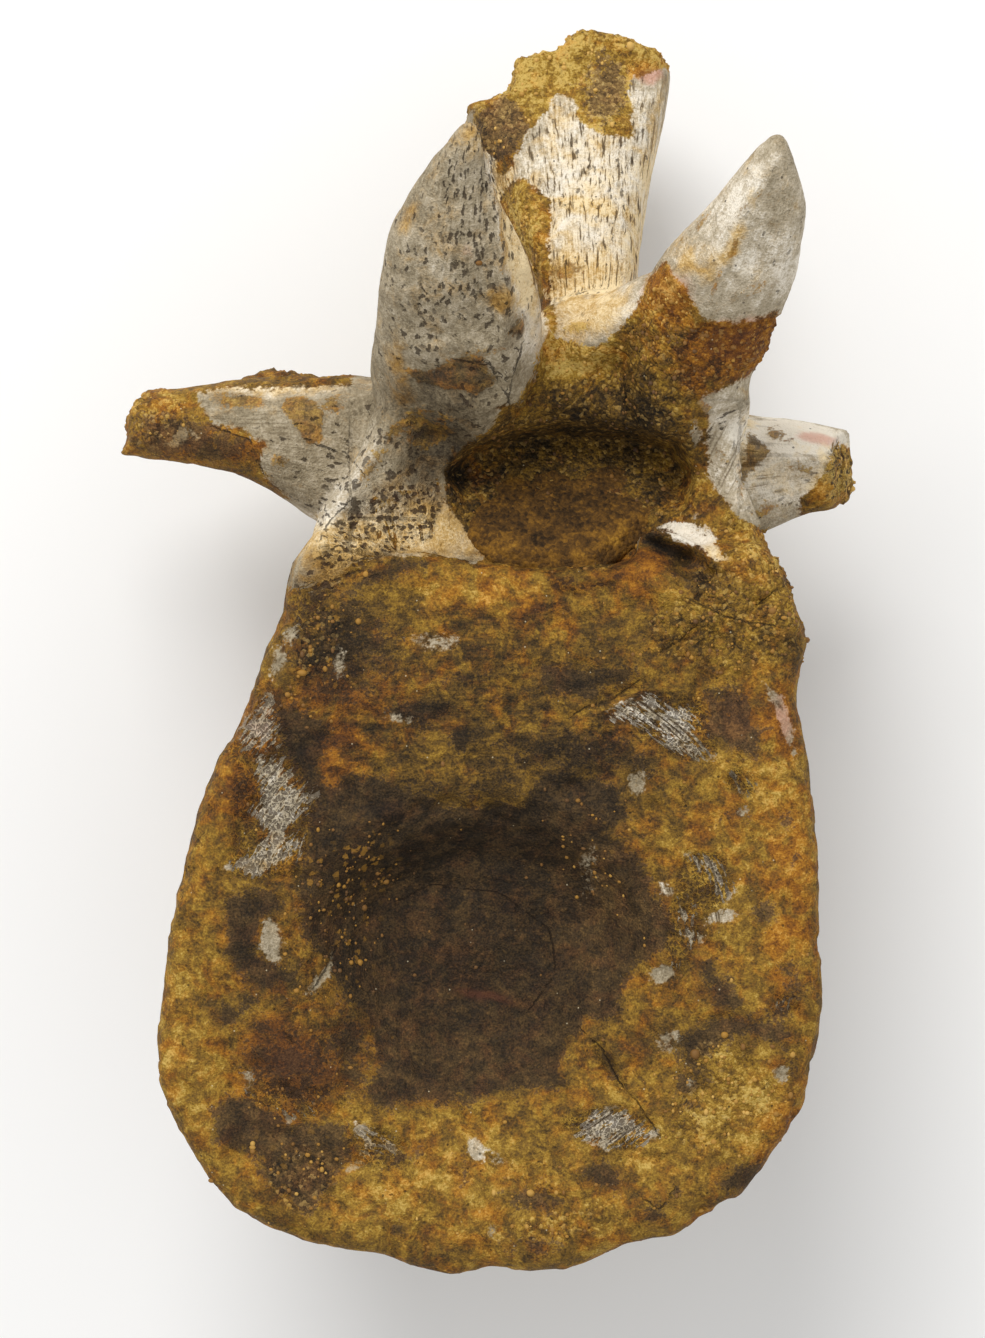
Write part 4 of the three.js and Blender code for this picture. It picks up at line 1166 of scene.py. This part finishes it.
class FOSSIL_OT_bone(bpy.types.Operator):
    """Builds the bone as one worn skin over all its solids"""

    bl_idname = "fossil.bone"
    bl_label = "Bone"

    def execute(self, context):
        settings = context.scene.fossil_bone
        bone = one_skin(settings)
        mesh = bone.data
        normals = normals_of(mesh)
        p = nudged(own(points_of(mesh)))
        marks = markings(p, normals)
        marks["cavity"] = cavities(p, normals, marks)
        height = relief(p, normals, marks, settings.wear / MM)
        moved = shaped(p, normals) + normals * height[:, None]
        # The ring that lies on the ground stays flat, and nothing reaches below it.
        moved = np.where(p[:, 2:] < REST_Z, p, moved)
        moved[:, 2] = np.maximum(moved[:, 2], 0.0)
        set_points(mesh, moved * MM + np.array(MIDDLE))
        marks["lines"] = fibre_coordinates(p, normals)
        keep(mesh, marks)
        # The back keeps fewer points than the front and the canal's mouth.
        thin_out(bone, np.minimum(1 - facing(p, normals), 1 - canal_mouth(seen(p), p)))
        finish_piece(bone, weathered_bone(), "pale_bone", *BONE_NODES)
        return {"FINISHED"}


class FOSSIL_OT_sand(bpy.types.Operator):
    """Builds the hardened sand that fills the nerve canal"""

    bl_idname = "fossil.sand"
    bl_label = "Sand fill"

    def execute(self, context):
        fill = copy_of([SAND_NODE], "sand_fill")
        for voxel, rounds in zip(SAND_VOXELS, (10, 2)):
            apply(fill, "REMESH", mode="VOXEL", voxel_size=voxel)
            even_out(fill.data, rounds)
        mesh = fill.data
        p, normals = own(points_of(mesh)), normals_of(mesh)
        # The mouth flares, and its surface slopes back from the edge of the centrum.
        flare = step_up(p[:, 2], *FLARE_Z)
        moved = p.copy()
        moved[:, :2] += (p[:, :2] - CANAL_MIDDLE) * (flare[:, None] * FLARE)
        moved[:, 2] += step_up(p[:, 2], *SAND_FACE_Z) * (sand_level(moved) - SOLID_SAND_Z)
        outside = -inside_outline(seen(moved), CANAL)
        sunk = 2.5 * step_up(outside, -16, 6) + 12 * step_up(outside, 4, 24)
        moved[:, 2] -= sunk * step_up(moved[:, 2], *MOUTH_Z)
        height = 0.9 * fractal(moved, 7, 52) + 0.6 * step_up(0.6 - cells(moved, 1.8, 51), 0, 0.5)
        inner = step_up(p[:, 2], 14, 24)
        moved += normals * (height * inner)[:, None]
        set_points(mesh, moved * MM + np.array(MIDDLE))
        # The sand's tone comes from the soft markings, painted shade under the arch included
        keep(mesh, {"tone": TONE_OF_FACE + soft(seen(moved), TONE)})
        finish_piece(fill, hardened_sand(), "sandstone", SAND_NODE)
        return {"FINISHED"}


class FOSSIL_OT_grains(bpy.types.Operator):
    """Strews single grains of sand over the bone"""

    bl_idname = "fossil.grains"
    bl_label = "Sand grains"

    def execute(self, context):
        settings = context.scene.fossil_sand
        bone = bpy.data.objects["bone"]
        points, normals = points_of(bone.data), normals_of(bone.data)
        count = len(points)
        marks = {}
        for name in ("sand", "fleck", "pale", "tone"):
            marks[name] = np.empty(count, np.float32)
            bone.data.attributes[name].data.foreach_get("value", marks[name])
        chance = 0.02 + np.clip(marks["fleck"], 0, 1) + 0.35 * step_up(marks["sand"], 0, 0.4)
        chance *= np.where(marks["pale"] > 0.1, 0.05, 1) * facing(own(points), normals)
        draw = np.random.default_rng(7)
        chosen = draw.choice(count, settings.loose, replace=False, p=chance / chance.sum())

        bpy.ops.object.select_all(action="DESELECT")
        bpy.ops.mesh.primitive_ico_sphere_add(subdivisions=2, radius=1.0, location=(0, 0, 0))
        grain = context.object
        ball = points_of(grain.data)
        faces = np.array([tuple(face.vertices) for face in grain.data.polygons])
        size = len(ball)
        radius = 0.5 * settings.grain * draw.lognormal(-0.35, 0.35, len(chosen))
        places, tints = [], []
        for index, r in zip(chosen, radius):
            squash = draw.uniform(0.7, 1.15, 3)
            lumps = 1 + 0.14 * noise(ball * 3 + 5.0 * index, 1.6, 61)
            places.append(points[index] + ball * squash * r * lumps[:, None] - 0.25 * r * normals[index])
            tints.append(np.full(size, draw.uniform(0, 1)))
        mesh = bpy.data.meshes.new("sand_grains")
        all_faces = (faces[None] + size * np.arange(len(chosen))[:, None, None]).reshape(-1, 3)
        mesh.from_pydata(np.concatenate(places).tolist(), [], all_faces.tolist())
        mesh.update()
        # Each grain keeps the tone beneath it, painted light and shade included
        keep(mesh, {"tint": np.concatenate(tints), "tone": np.repeat(marks["tone"][chosen], size)})
        grain.name = "sand_grains"
        grain.data = mesh
        finish_piece(grain, sand_grain(), "sandstone")
        return {"FINISHED"}


class FOSSIL_OT_stage(bpy.types.Operator):
    """Sets up the floor, the lights and the camera"""

    bl_idname = "fossil.stage"
    bl_label = "Studio"

    def execute(self, context):
        settings = context.scene.fossil_stage
        scene = context.scene
        bpy.ops.object.select_all(action="DESELECT")
        bpy.ops.mesh.primitive_plane_add(size=FLOOR_WIDTH, location=(0, 0, 0))
        floor = context.object
        floor.name = "floor"
        floor.data.materials.append(plain_paint())

        world = bpy.data.worlds.new("studio")
        world.use_nodes = True
        world.node_tree.nodes["Background"].inputs["Color"].default_value = linear("#f4f5f6")
        world.node_tree.nodes["Background"].inputs["Strength"].default_value = settings.fill
        scene.world = world

        bpy.ops.object.light_add(type="AREA", location=LAMP_PLACE)
        lamp = context.object
        lamp.name = "key"
        lamp.data.size = LAMP_WIDTH
        lamp.data.energy = settings.key
        lamp.rotation_euler = (LAMP_TARGET - lamp.location).to_track_quat("-Z", "Y").to_euler()

        bpy.ops.object.camera_add(location=MIDDLE + CAMERA_PLACE * MM, rotation=(0, 0, 0))
        camera = context.object
        camera.data.sensor_width = SENSOR
        camera.data.lens = SENSOR * CAMERA_REACH * PIXELS_PER_MM / PHOTO_SIZE[1]
        camera.data.clip_start = 0.01
        scene.camera = camera
        scene.view_settings.view_transform = "Standard"
        return {"FINISHED"}


# Materials

def add(tree, kind, inputs=(), out=0, stops=None, **settings):
    """Adds a node, sets it up, links or sets its inputs, and gives back one of its outputs or all."""
    made = tree.nodes.new("ShaderNode" + kind)
    for name, value in settings.items():
        setattr(made, name, value)
    if stops:
        ramp = made.color_ramp
        while len(ramp.elements) < len(stops):
            ramp.elements.new(0.5)
        for element, (place, colour) in zip(ramp.elements, stops):
            element.position = place
            element.color = linear(colour)
    for key, value in inputs.items() if isinstance(inputs, dict) else enumerate(inputs):
        if isinstance(value, bpy.types.NodeSocket):
            tree.links.new(value, made.inputs[key])
        else:
            made.inputs[key].default_value = value
    return made.outputs if out is None else made.outputs[out]


def blank(name):
    """A material without nodes, and its node tree."""
    material = bpy.data.materials.new(name)
    material.use_nodes = True
    material.node_tree.nodes.clear()
    return material, material.node_tree


# Settings of nodes that are used often
SUM = {"operation": "MULTIPLY_ADD"}
TIMES = {"operation": "MULTIPLY"}
SMOOTH = {"interpolation_type": "SMOOTHSTEP"}
COLOURS = {"data_type": "RGBA", "out": 2}

OLIVE_OCHRE = [(0.0, "#1a140b"), (0.2, "#352814"), (0.4, "#56401c"), (0.6, "#7b5c22"), (0.8, "#9f7c2e"),
               (1.0, "#c6a658")]
RED_OCHRE = [(0.0, "#1f140b"), (0.2, "#3d2613"), (0.4, "#613b17"), (0.6, "#89561a"), (0.8, "#ac7422"),
             (1.0, "#d09e4c")]
UMBER = [(0.0, "#15100a"), (0.2, "#2a2117"), (0.4, "#463726"), (0.6, "#685239"), (0.8, "#8f7653"),
         (1.0, "#b69e74")]
BARE_BONE = [(0.0, "#3a3125"), (0.25, "#695c46"), (0.5, "#92846a"), (0.75, "#bbad94"), (1.0, "#ece2d0")]
YELLOW_BONE = [(0.0, "#46331a"), (0.25, "#6f5128"), (0.5, "#9b763b"), (0.75, "#c6a264"), (1.0, "#ecd5a8")]


def weathered_bone():
    """Fossil bone out of iron-rich sand: grey-white where it is clean, spongy where its skin is gone, and
    stained ochre to umber, with a dry surface of fine grains. It has hardly any gloss."""
    material, tree = blank("weathered fossil bone")
    place = add(tree, "TexCoord", out="Object")
    mm = add(tree, "VectorMath", {0: place, "Scale": 1 / MM}, operation="SCALE")
    lines = add(tree, "Attribute", out="Vector", attribute_name="lines")
    read = {name: add(tree, "Attribute", out="Fac", attribute_name=name)
            for name in ("tone", "hue", "light", "yellow", "pale", "brown", "sand", "porous", "pits", "fibre",
                         "fleck", "stain", "cavity", "crack", "crack_away")}

    # Noise round 0, as wide as the size in mm
    along = add(tree, "Mapping", {"Vector": lines, "Scale": (1.0, 0.06, 0.3)})
    shreds = add(tree, "Mapping", {"Vector": lines, "Scale": (1.0, 0.3, 0.4)})
    level = add(tree, "Mapping", {"Vector": mm, "Rotation": (0, 0, 0.1), "Scale": (0.2, 1.0, 1.0)})
    wave = {}
    for name, at, size, detail, roughness, twist, shift in (
            ("broad", mm, 9.0, 3, 0.55, 0.0, 0.0), ("middle", mm, 3.4, 5, 0.62, 0.5, 0.0),
            ("other", mm, 5.0, 4, 0.6, 0.6, 50.0), ("patchy", mm, 6.0, 4, 0.6, 1.0, 90.0),
            ("fine", mm, 0.8, 3, 0.6, 0.0, 0.0), ("grit", mm, 0.42, 1, 0.5, 0.0, 0.0),
            ("streak", along, 0.6, 2, 0.6, 0.0, 0.0), ("torn", shreds, 0.9, 3, 0.65, 0.4, 30.0),
            ("layers", level, 1.6, 4, 0.62, 0.0, 0.0)):
        shifted = add(tree, "VectorMath", (at, (shift, shift, shift)), operation="ADD")
        value = add(tree, "TexNoise", {"Vector": shifted, "Scale": 1 / size, "Detail": detail,
                                       "Roughness": roughness, "Distortion": twist})
        wave[name] = add(tree, "Math", (value, -0.5), operation="ADD")
    ragged = add(tree, "Math", (wave["middle"], 1.2), **TIMES)
    ragged = add(tree, "Math", (wave["fine"], 0.9, ragged), **SUM)
    streak = add(tree, "Math", (wave["streak"], read["fibre"]), **TIMES)
    layers = add(tree, "Math", (wave["layers"], read["fibre"]), **TIMES)

    # Where each kind of marking shows, with a ragged edge
    shown = {}
    for name, share, end in (("porous", 0.8, 0.4), ("stain", 2.6, 0.5), ("brown", 0.9, 0.25),
                             ("sand", 1.0, 0.45), ("pale", 0.9, 0.28)):
        value = add(tree, "Math", (ragged, share, read[name]), **SUM)
        if name == "pale":
            # In spongy bone the clean patches are torn into shreds.
            shred = add(tree, "Math", (wave["torn"], 4.4, -0.34), **SUM)
            value = add(tree, "Math", (shred, shown["porous"], value), **SUM)
        shown[name] = add(tree, "MapRange", (value, 0.0, end), **SMOOTH)
    buried = add(tree, "MapRange", (shown["sand"], 0.9, 0.3), **SMOOTH)
    is_bare = add(tree, "Math", (shown["pale"], buried), **TIMES)

    # Single grains of sand, each with its own tint
    grains = add(tree, "TexVoronoi", {"Vector": mm, "Scale": 1 / 0.8}, out=None)
    tint = add(tree, "SeparateColor", (grains["Color"],))
    tinted = add(tree, "Math", (tint, -0.5), operation="ADD")
    tinted = add(tree, "Math", (tinted, shown["sand"]), **TIMES)
    bright = add(tree, "MapRange", (tint, 0.86, 0.96, 0.0, 0.3), **SMOOTH)
    bright = add(tree, "Math", (bright, shown["sand"]), **TIMES)

    # Stained bone: crisp blotches, fine grit and thin layers
    blotch = add(tree, "MapRange", (wave["middle"], -0.06, 0.06), **SMOOTH)
    patch = add(tree, "MapRange", (wave["patchy"], -0.05, 0.05), **SMOOTH)
    change = add(tree, "Math", (blotch, 0.12, -0.14), **SUM)
    for value, share in ((patch, 0.15), (wave["broad"], 0.3), (wave["middle"], 0.35), (wave["fine"], 0.6),
                         (layers, 0.8)):
        change = add(tree, "Math", (value, share, change), **SUM)
    evenness = add(tree, "Math", (shown["stain"], -0.35, 1.0), **SUM)
    # The tone carries the painted shade and light of the soft markings
    tone = add(tree, "Math", (change, evenness, read["tone"]), **SUM)
    for value, share in ((wave["grit"], 0.5), (tinted, 0.3), (shown["stain"], -0.25)):
        tone = add(tree, "Math", (value, share, tone), **SUM)
    hue = add(tree, "Math", (wave["other"], 2.6, read["hue"]), **SUM)
    hue = add(tree, "Math", (wave["fine"], 0.6, hue), **SUM)
    redness = add(tree, "MapRange", (hue, -0.25, 0.65), **SMOOTH)
    olive = add(tree, "ValToRGB", (tone,), stops=OLIVE_OCHRE)
    red = add(tree, "ValToRGB", (tone,), stops=RED_OCHRE)
    umber = add(tree, "ValToRGB", (tone,), stops=UMBER)
    stained = add(tree, "Mix", {0: redness, 6: olive, 7: red}, **COLOURS)
    # Umber where the stains are; in the dish and the slot this is painted shade
    share = add(tree, "Math", (shown["stain"], 0.6), **TIMES)
    stained = add(tree, "Mix", {0: share, 6: stained, 7: umber}, **COLOURS)
    share = add(tree, "MapRange", (read["hue"], 0.5, 1.2, 0.0, 0.7), **SMOOTH)
    stained = add(tree, "Mix", {0: share, 6: stained, 7: linear("#623826")}, **COLOURS)
    stained = add(tree, "Mix", {0: bright, 6: stained, 7: linear("#bd9c5c")}, **COLOURS)

    # Golden grains that sit in the dark stain
    sown = add(tree, "TexVoronoi", {"Vector": mm, "Scale": 1 / 1.9}, out=None)
    choice = add(tree, "SeparateColor", (sown["Color"],))
    choice = add(tree, "MapRange", (choice, 0.5, 0.8, 0.0, 0.6), **SMOOTH)
    lump = add(tree, "Math", (wave["fine"], 1.2, sown["Distance"]), **SUM)
    lump = add(tree, "Math", (wave["middle"], 0.8, lump), **SUM)
    lump = add(tree, "MapRange", (lump, 0.42, 0.26), **SMOOTH)
    golden = add(tree, "MapRange", (read["fleck"], 0.1, 0.8), **SMOOTH)
    for value in (choice, lump):
        golden = add(tree, "Math", (golden, value), **TIMES)
    stained = add(tree, "Mix", {0: golden, 6: stained, 7: linear("#a97b30")}, **COLOURS)

    # Bare bone with yellow clouds, freckles and pink breath
    # Its lightness carries the painted light and shade of the LIGHT table
    light = read["light"]
    for value, share in ((wave["broad"], 0.3), (wave["middle"], 0.7), (wave["fine"], 0.55),
                         (wave["grit"], 0.35), (streak, 1.0)):
        light = add(tree, "Math", (value, share, light), **SUM)
    bare = add(tree, "ValToRGB", (light,), stops=BARE_BONE)
    clouded = add(tree, "ValToRGB", (light,), stops=YELLOW_BONE)
    cloud = add(tree, "Math", (wave["other"], 1.8, read["yellow"]), **SUM)
    cloud = add(tree, "Math", (wave["fine"], 0.5, cloud), **SUM)
    cloud = add(tree, "MapRange", (cloud, 0.08, 0.9), **SMOOTH)
    bare = add(tree, "Mix", {0: cloud, 6: bare, 7: clouded}, **COLOURS)
    freckle = add(tree, "Math", (wave["fine"], 0.7, wave["patchy"]), **SUM)
    freckle = add(tree, "MapRange", (freckle, 0.12, 0.26, 0.0, 0.5), **SMOOTH)
    bare = add(tree, "Mix", {0: freckle, 6: bare, 7: linear("#8a7048")}, **COLOURS)
    blush = add(tree, "Math", (wave["middle"], 1.0, read["hue"]), **SUM)
    blush = add(tree, "MapRange", (blush, 0.3, 1.1, 0.0, 0.6), **SMOOTH)
    bare = add(tree, "Mix", {0: blush, 6: bare, 7: linear("#d08a72")}, **COLOURS)
    browned = add(tree, "Math", (shown["brown"], 0.85), **TIMES)
    bare = add(tree, "Mix", {0: browned, 6: bare, 7: stained}, **COLOURS)
    drawn = add(tree, "MapRange", (wave["streak"], -0.07, -0.15), **SMOOTH)
    fibrous = add(tree, "MapRange", (read["fibre"], 0.3, 0.9, 0.0, 0.8), **SMOOTH)
    drawn = add(tree, "Math", (drawn, fibrous), **TIMES)
    bare = add(tree, "Mix", {0: drawn, 6: bare, 7: linear("#4c3a24")}, **COLOURS)
    colour = add(tree, "Mix", {0: is_bare, 6: stained, 7: bare}, **COLOURS)

    # Vessel openings, drawn out along the fibres
    bend = add(tree, "TexNoise", {"Vector": mm, "Scale": 1 / 2.4, "Detail": 2}, out="Color")
    bent = add(tree, "VectorMath", (bend, (2.6, 2.6, 2.6), lines), **SUM)
    squeezed = add(tree, "Mapping", {"Vector": bent, "Scale": (1.0, 0.34, 0.5)})
    opening = add(tree, "TexVoronoi", {"Vector": squeezed, "Scale": 1 / 1.15}, out=None)
    choice = add(tree, "SeparateColor", (opening["Color"],))
    wanted = add(tree, "Math", (choice, read["pits"]), operation="ADD")
    wanted = add(tree, "MapRange", (wanted, 0.8, 1.25), **SMOOTH)
    pit = add(tree, "Math", (read["pits"], -0.08, opening["Distance"]), **SUM)
    pit = add(tree, "Math", (wave["fine"], 0.7, pit), **SUM)
    pit = add(tree, "MapRange", (pit, 0.33, 0.16), **SMOOTH)
    pit = add(tree, "Math", (pit, wanted), **TIMES)
    share = add(tree, "Math", (pit, 0.8), **TIMES)
    colour = add(tree, "Mix", {0: share, 6: colour, 7: linear("#35281b")}, **COLOURS)

    # Spongy bone: a net of thin walls round dark cells, and wide cavities in the arch
    bend = add(tree, "TexNoise", {"Vector": mm, "Scale": 1 / 1.2, "Detail": 1}, out="Color")
    bent = add(tree, "VectorMath", (bend, (1.5, 1.5, 1.5), mm), **SUM)
    net = add(tree, "TexVoronoi", {"Vector": bent, "Scale": 1 / 1.1}, feature="DISTANCE_TO_EDGE")
    for value, share in ((wave["middle"], 0.5), (wave["fine"], 0.5), (wave["torn"], 0.6)):
        net = add(tree, "Math", (value, share, net), **SUM)
    hollow = add(tree, "MapRange", (net, 0.08, 0.22), **SMOOTH)
    hollow = add(tree, "Math", (hollow, shown["porous"]), **TIMES)
    plainer = add(tree, "Math", (read["cavity"], -0.45, 1.0), **SUM)
    hollow = add(tree, "Math", (hollow, plainer), **TIMES)
    share = add(tree, "Math", (hollow, 0.74), **TIMES)
    colour = add(tree, "Mix", {0: share, 6: colour, 7: linear("#3a291b")}, **COLOURS)
    wide = add(tree, "Mapping", {"Vector": bent, "Scale": (0.72, 1.1, 1.0), "Rotation": (0, 0, -0.3)})
    wide = add(tree, "TexVoronoi", {"Vector": wide, "Scale": 1 / 1.4}, out=None)
    choice = add(tree, "SeparateColor", (wide["Color"],))
    reach = add(tree, "MapRange", (choice, 0.0, 1.0, 0.16, 0.56))
    cavity = add(tree, "Math", (reach, wide["Distance"]), operation="SUBTRACT")
    cavity = add(tree, "Math", (wave["fine"], 0.4, cavity), **SUM)
    cavity = add(tree, "MapRange", (cavity, -0.02, 0.09, 0.0, 0.85), **SMOOTH)
    cavity = add(tree, "Math", (cavity, read["cavity"]), **TIMES)
    colour = add(tree, "Mix", {0: cavity, 6: colour, 7: linear("#38271a")}, **COLOURS)

    # Pinprick pores, and sparks of quartz
    prick = add(tree, "TexVoronoi", {"Vector": mm, "Scale": 1 / 2.3}, out=None)
    choice = add(tree, "SeparateColor", (prick["Color"],))
    dots = {}
    for name, reach, low, high, strength in (("pore", 0.14, 0.7, 0.8, 0.7), ("spark", 0.09, 0.2, 0.12, 0.6)):
        dot = add(tree, "MapRange", (prick["Distance"], reach, 0.6 * reach, 0.0, strength), **SMOOTH)
        chosen = add(tree, "MapRange", (choice, low, high), **SMOOTH)
        dots[name] = add(tree, "Math", (dot, chosen), **TIMES)
    colour = add(tree, "Mix", {0: dots["pore"], 6: colour, 7: linear("#2a1f14")}, **COLOURS)
    colour = add(tree, "Mix", {0: dots["spark"], 6: colour, 7: linear("#d8c9a6")}, **COLOURS)

    # Thin cracks
    wander = add(tree, "Math", (wave["middle"], 1.6, read["crack"]), **SUM)
    wander = add(tree, "Math", (wave["fine"], 0.6, wander), **SUM)
    width = add(tree, "Math", (wander,), operation="ABSOLUTE")
    crack = add(tree, "MapRange", (width, 0.24, 0.08), **SMOOTH)
    near = add(tree, "MapRange", (read["crack_away"], 1.6, 1.2), **SMOOTH)
    open_here = add(tree, "MapRange", (wave["middle"], -0.1, 0.03), **SMOOTH)
    for value in (near, open_here):
        crack = add(tree, "Math", (crack, value), **TIMES)
    share = add(tree, "Math", (crack, 0.75), **TIMES)
    colour = add(tree, "Mix", {0: share, 6: colour, 7: linear("#20170e")}, **COLOURS)

    # Fine relief, up to about 0.5 mm
    rough_sand = add(tree, "Math", (grains["Distance"], shown["sand"]), **TIMES)
    height = add(tree, "Math", (wave["fine"], 0.55), **TIMES)
    for value, share in ((wave["grit"], 0.4), (pit, -0.6), (hollow, -0.5), (golden, 0.5),
                         (dots["pore"], -0.4), (crack, -0.8), (streak, 0.5), (rough_sand, -0.5),
                         (layers, 0.4), (is_bare, -0.12), (blotch, 0.08), (cavity, -0.4)):
        height = add(tree, "Math", (value, share, height), **SUM)
    bump = add(tree, "Bump", {"Height": height, "Distance": 0.9 * MM, "Strength": 0.8})
    rough = add(tree, "MapRange", (wave["middle"], -0.2, 0.2, 0.66, 0.88))
    shader = add(tree, "BsdfPrincipled", {"Base Color": colour, "Roughness": rough, "Normal": bump,
                                          "Specular IOR Level": 0.2})
    add(tree, "OutputMaterial", {"Surface": shader}, out=None)
    return material


def hardened_sand():
    """Brown sandstone: quartz grains in a lime and iron cement, matt and rough all over."""
    material, tree = blank("hardened brown sand")
    place = add(tree, "TexCoord", out="Object")
    mm = add(tree, "VectorMath", {0: place, "Scale": 1 / MM}, operation="SCALE")
    middle = add(tree, "TexNoise", {"Vector": mm, "Scale": 1 / 4.0, "Detail": 5, "Roughness": 0.6})
    fine = add(tree, "TexNoise", {"Vector": mm, "Scale": 1 / 0.7, "Detail": 3, "Roughness": 0.6})
    grains = add(tree, "TexVoronoi", {"Vector": mm, "Scale": 1 / 0.95}, out=None)
    tint = add(tree, "SeparateColor", (grains["Color"],))
    tone = add(tree, "Attribute", out="Fac", attribute_name="tone")
    tone = add(tree, "Math", (tone, -0.82), operation="ADD")
    for value, share in ((middle, 0.8), (fine, 0.6), (tint, 0.22)):
        tone = add(tree, "Math", (value, share, tone), **SUM)
    olive = add(tree, "ValToRGB", (tone,), stops=OLIVE_OCHRE)
    red = add(tree, "ValToRGB", (tone,), stops=RED_OCHRE)
    colour = add(tree, "Mix", {0: 0.35, 6: olive, 7: red}, **COLOURS)
    height = add(tree, "Math", (fine, 0.5), **TIMES)
    height = add(tree, "Math", (grains["Distance"], -0.5, height), **SUM)
    bump = add(tree, "Bump", {"Height": height, "Distance": 0.9 * MM, "Strength": 0.8})
    shader = add(tree, "BsdfPrincipled", {"Base Color": colour, "Roughness": 0.88, "Normal": bump,
                                          "Specular IOR Level": 0.2})
    add(tree, "OutputMaterial", {"Surface": shader}, out=None)
    return material


def sand_grain():
    """Single grains of quartz and ochre: each has its own tint, with the tone of what it sits on."""
    material, tree = blank("ochre sand grain")
    tint = add(tree, "Attribute", out="Fac", attribute_name="tint")
    tone = add(tree, "Attribute", out="Fac", attribute_name="tone")
    tone = add(tree, "Math", (tint, 0.42, tone), **SUM)
    tone = add(tree, "Math", (tone, -0.12), operation="ADD")
    olive = add(tree, "ValToRGB", (tone,), stops=OLIVE_OCHRE)
    red = add(tree, "ValToRGB", (tone,), stops=RED_OCHRE)
    colour = add(tree, "Mix", {0: 0.5, 6: olive, 7: red}, **COLOURS)
    shader = add(tree, "BsdfPrincipled", {"Base Color": colour, "Roughness": 0.7})
    add(tree, "OutputMaterial", {"Surface": shader}, out=None)
    return material


def plain_paint():
    """Matt pale paint of a studio floor."""
    material, tree = blank("matt pale paint")
    shader = add(tree, "BsdfPrincipled", {"Base Color": linear("#f5f4f2"), "Roughness": 0.9})
    add(tree, "OutputMaterial", {"Surface": shader}, out=None)
    return material


class FOSSIL_PT_panel(bpy.types.Panel):
    """Lists the settings and the steps"""

    bl_label = "Fossil vertebra"
    bl_space_type = "VIEW_3D"
    bl_region_type = "UI"
    bl_category = "Fossil"

    def draw(self, context):
        for group, operators in STEPS.items():
            box = self.layout.box()
            settings = getattr(context.scene, group)
            for name in settings.__annotations__:
                box.prop(settings, name)
            for operator in operators:
                box.operator(operator)


STEPS = {"fossil_stage": ["fossil.stage"], "fossil_bone": ["fossil.bone"],
         "fossil_sand": ["fossil.sand", "fossil.grains"]}
SETTINGS = {"fossil_bone": BoneSettings, "fossil_sand": SandSettings, "fossil_stage": StageSettings}
CLASSES = (*SETTINGS.values(), FOSSIL_OT_bone, FOSSIL_OT_sand, FOSSIL_OT_grains, FOSSIL_OT_stage,
           FOSSIL_PT_panel)


def register():
    for item in CLASSES:
        bpy.utils.register_class(item)
    for name, group in SETTINGS.items():
        setattr(bpy.types.Scene, name, PointerProperty(type=group))


def unregister():
    for name in SETTINGS:
        delattr(bpy.types.Scene, name)
    for item in reversed(CLASSES):
        bpy.utils.unregister_class(item)


def main():
    register()
    bpy.ops.fossil.stage()
    bpy.ops.fossil.bone()
    bpy.ops.fossil.sand()
    bpy.ops.fossil.grains()


if __name__ == "__main__":
    main()
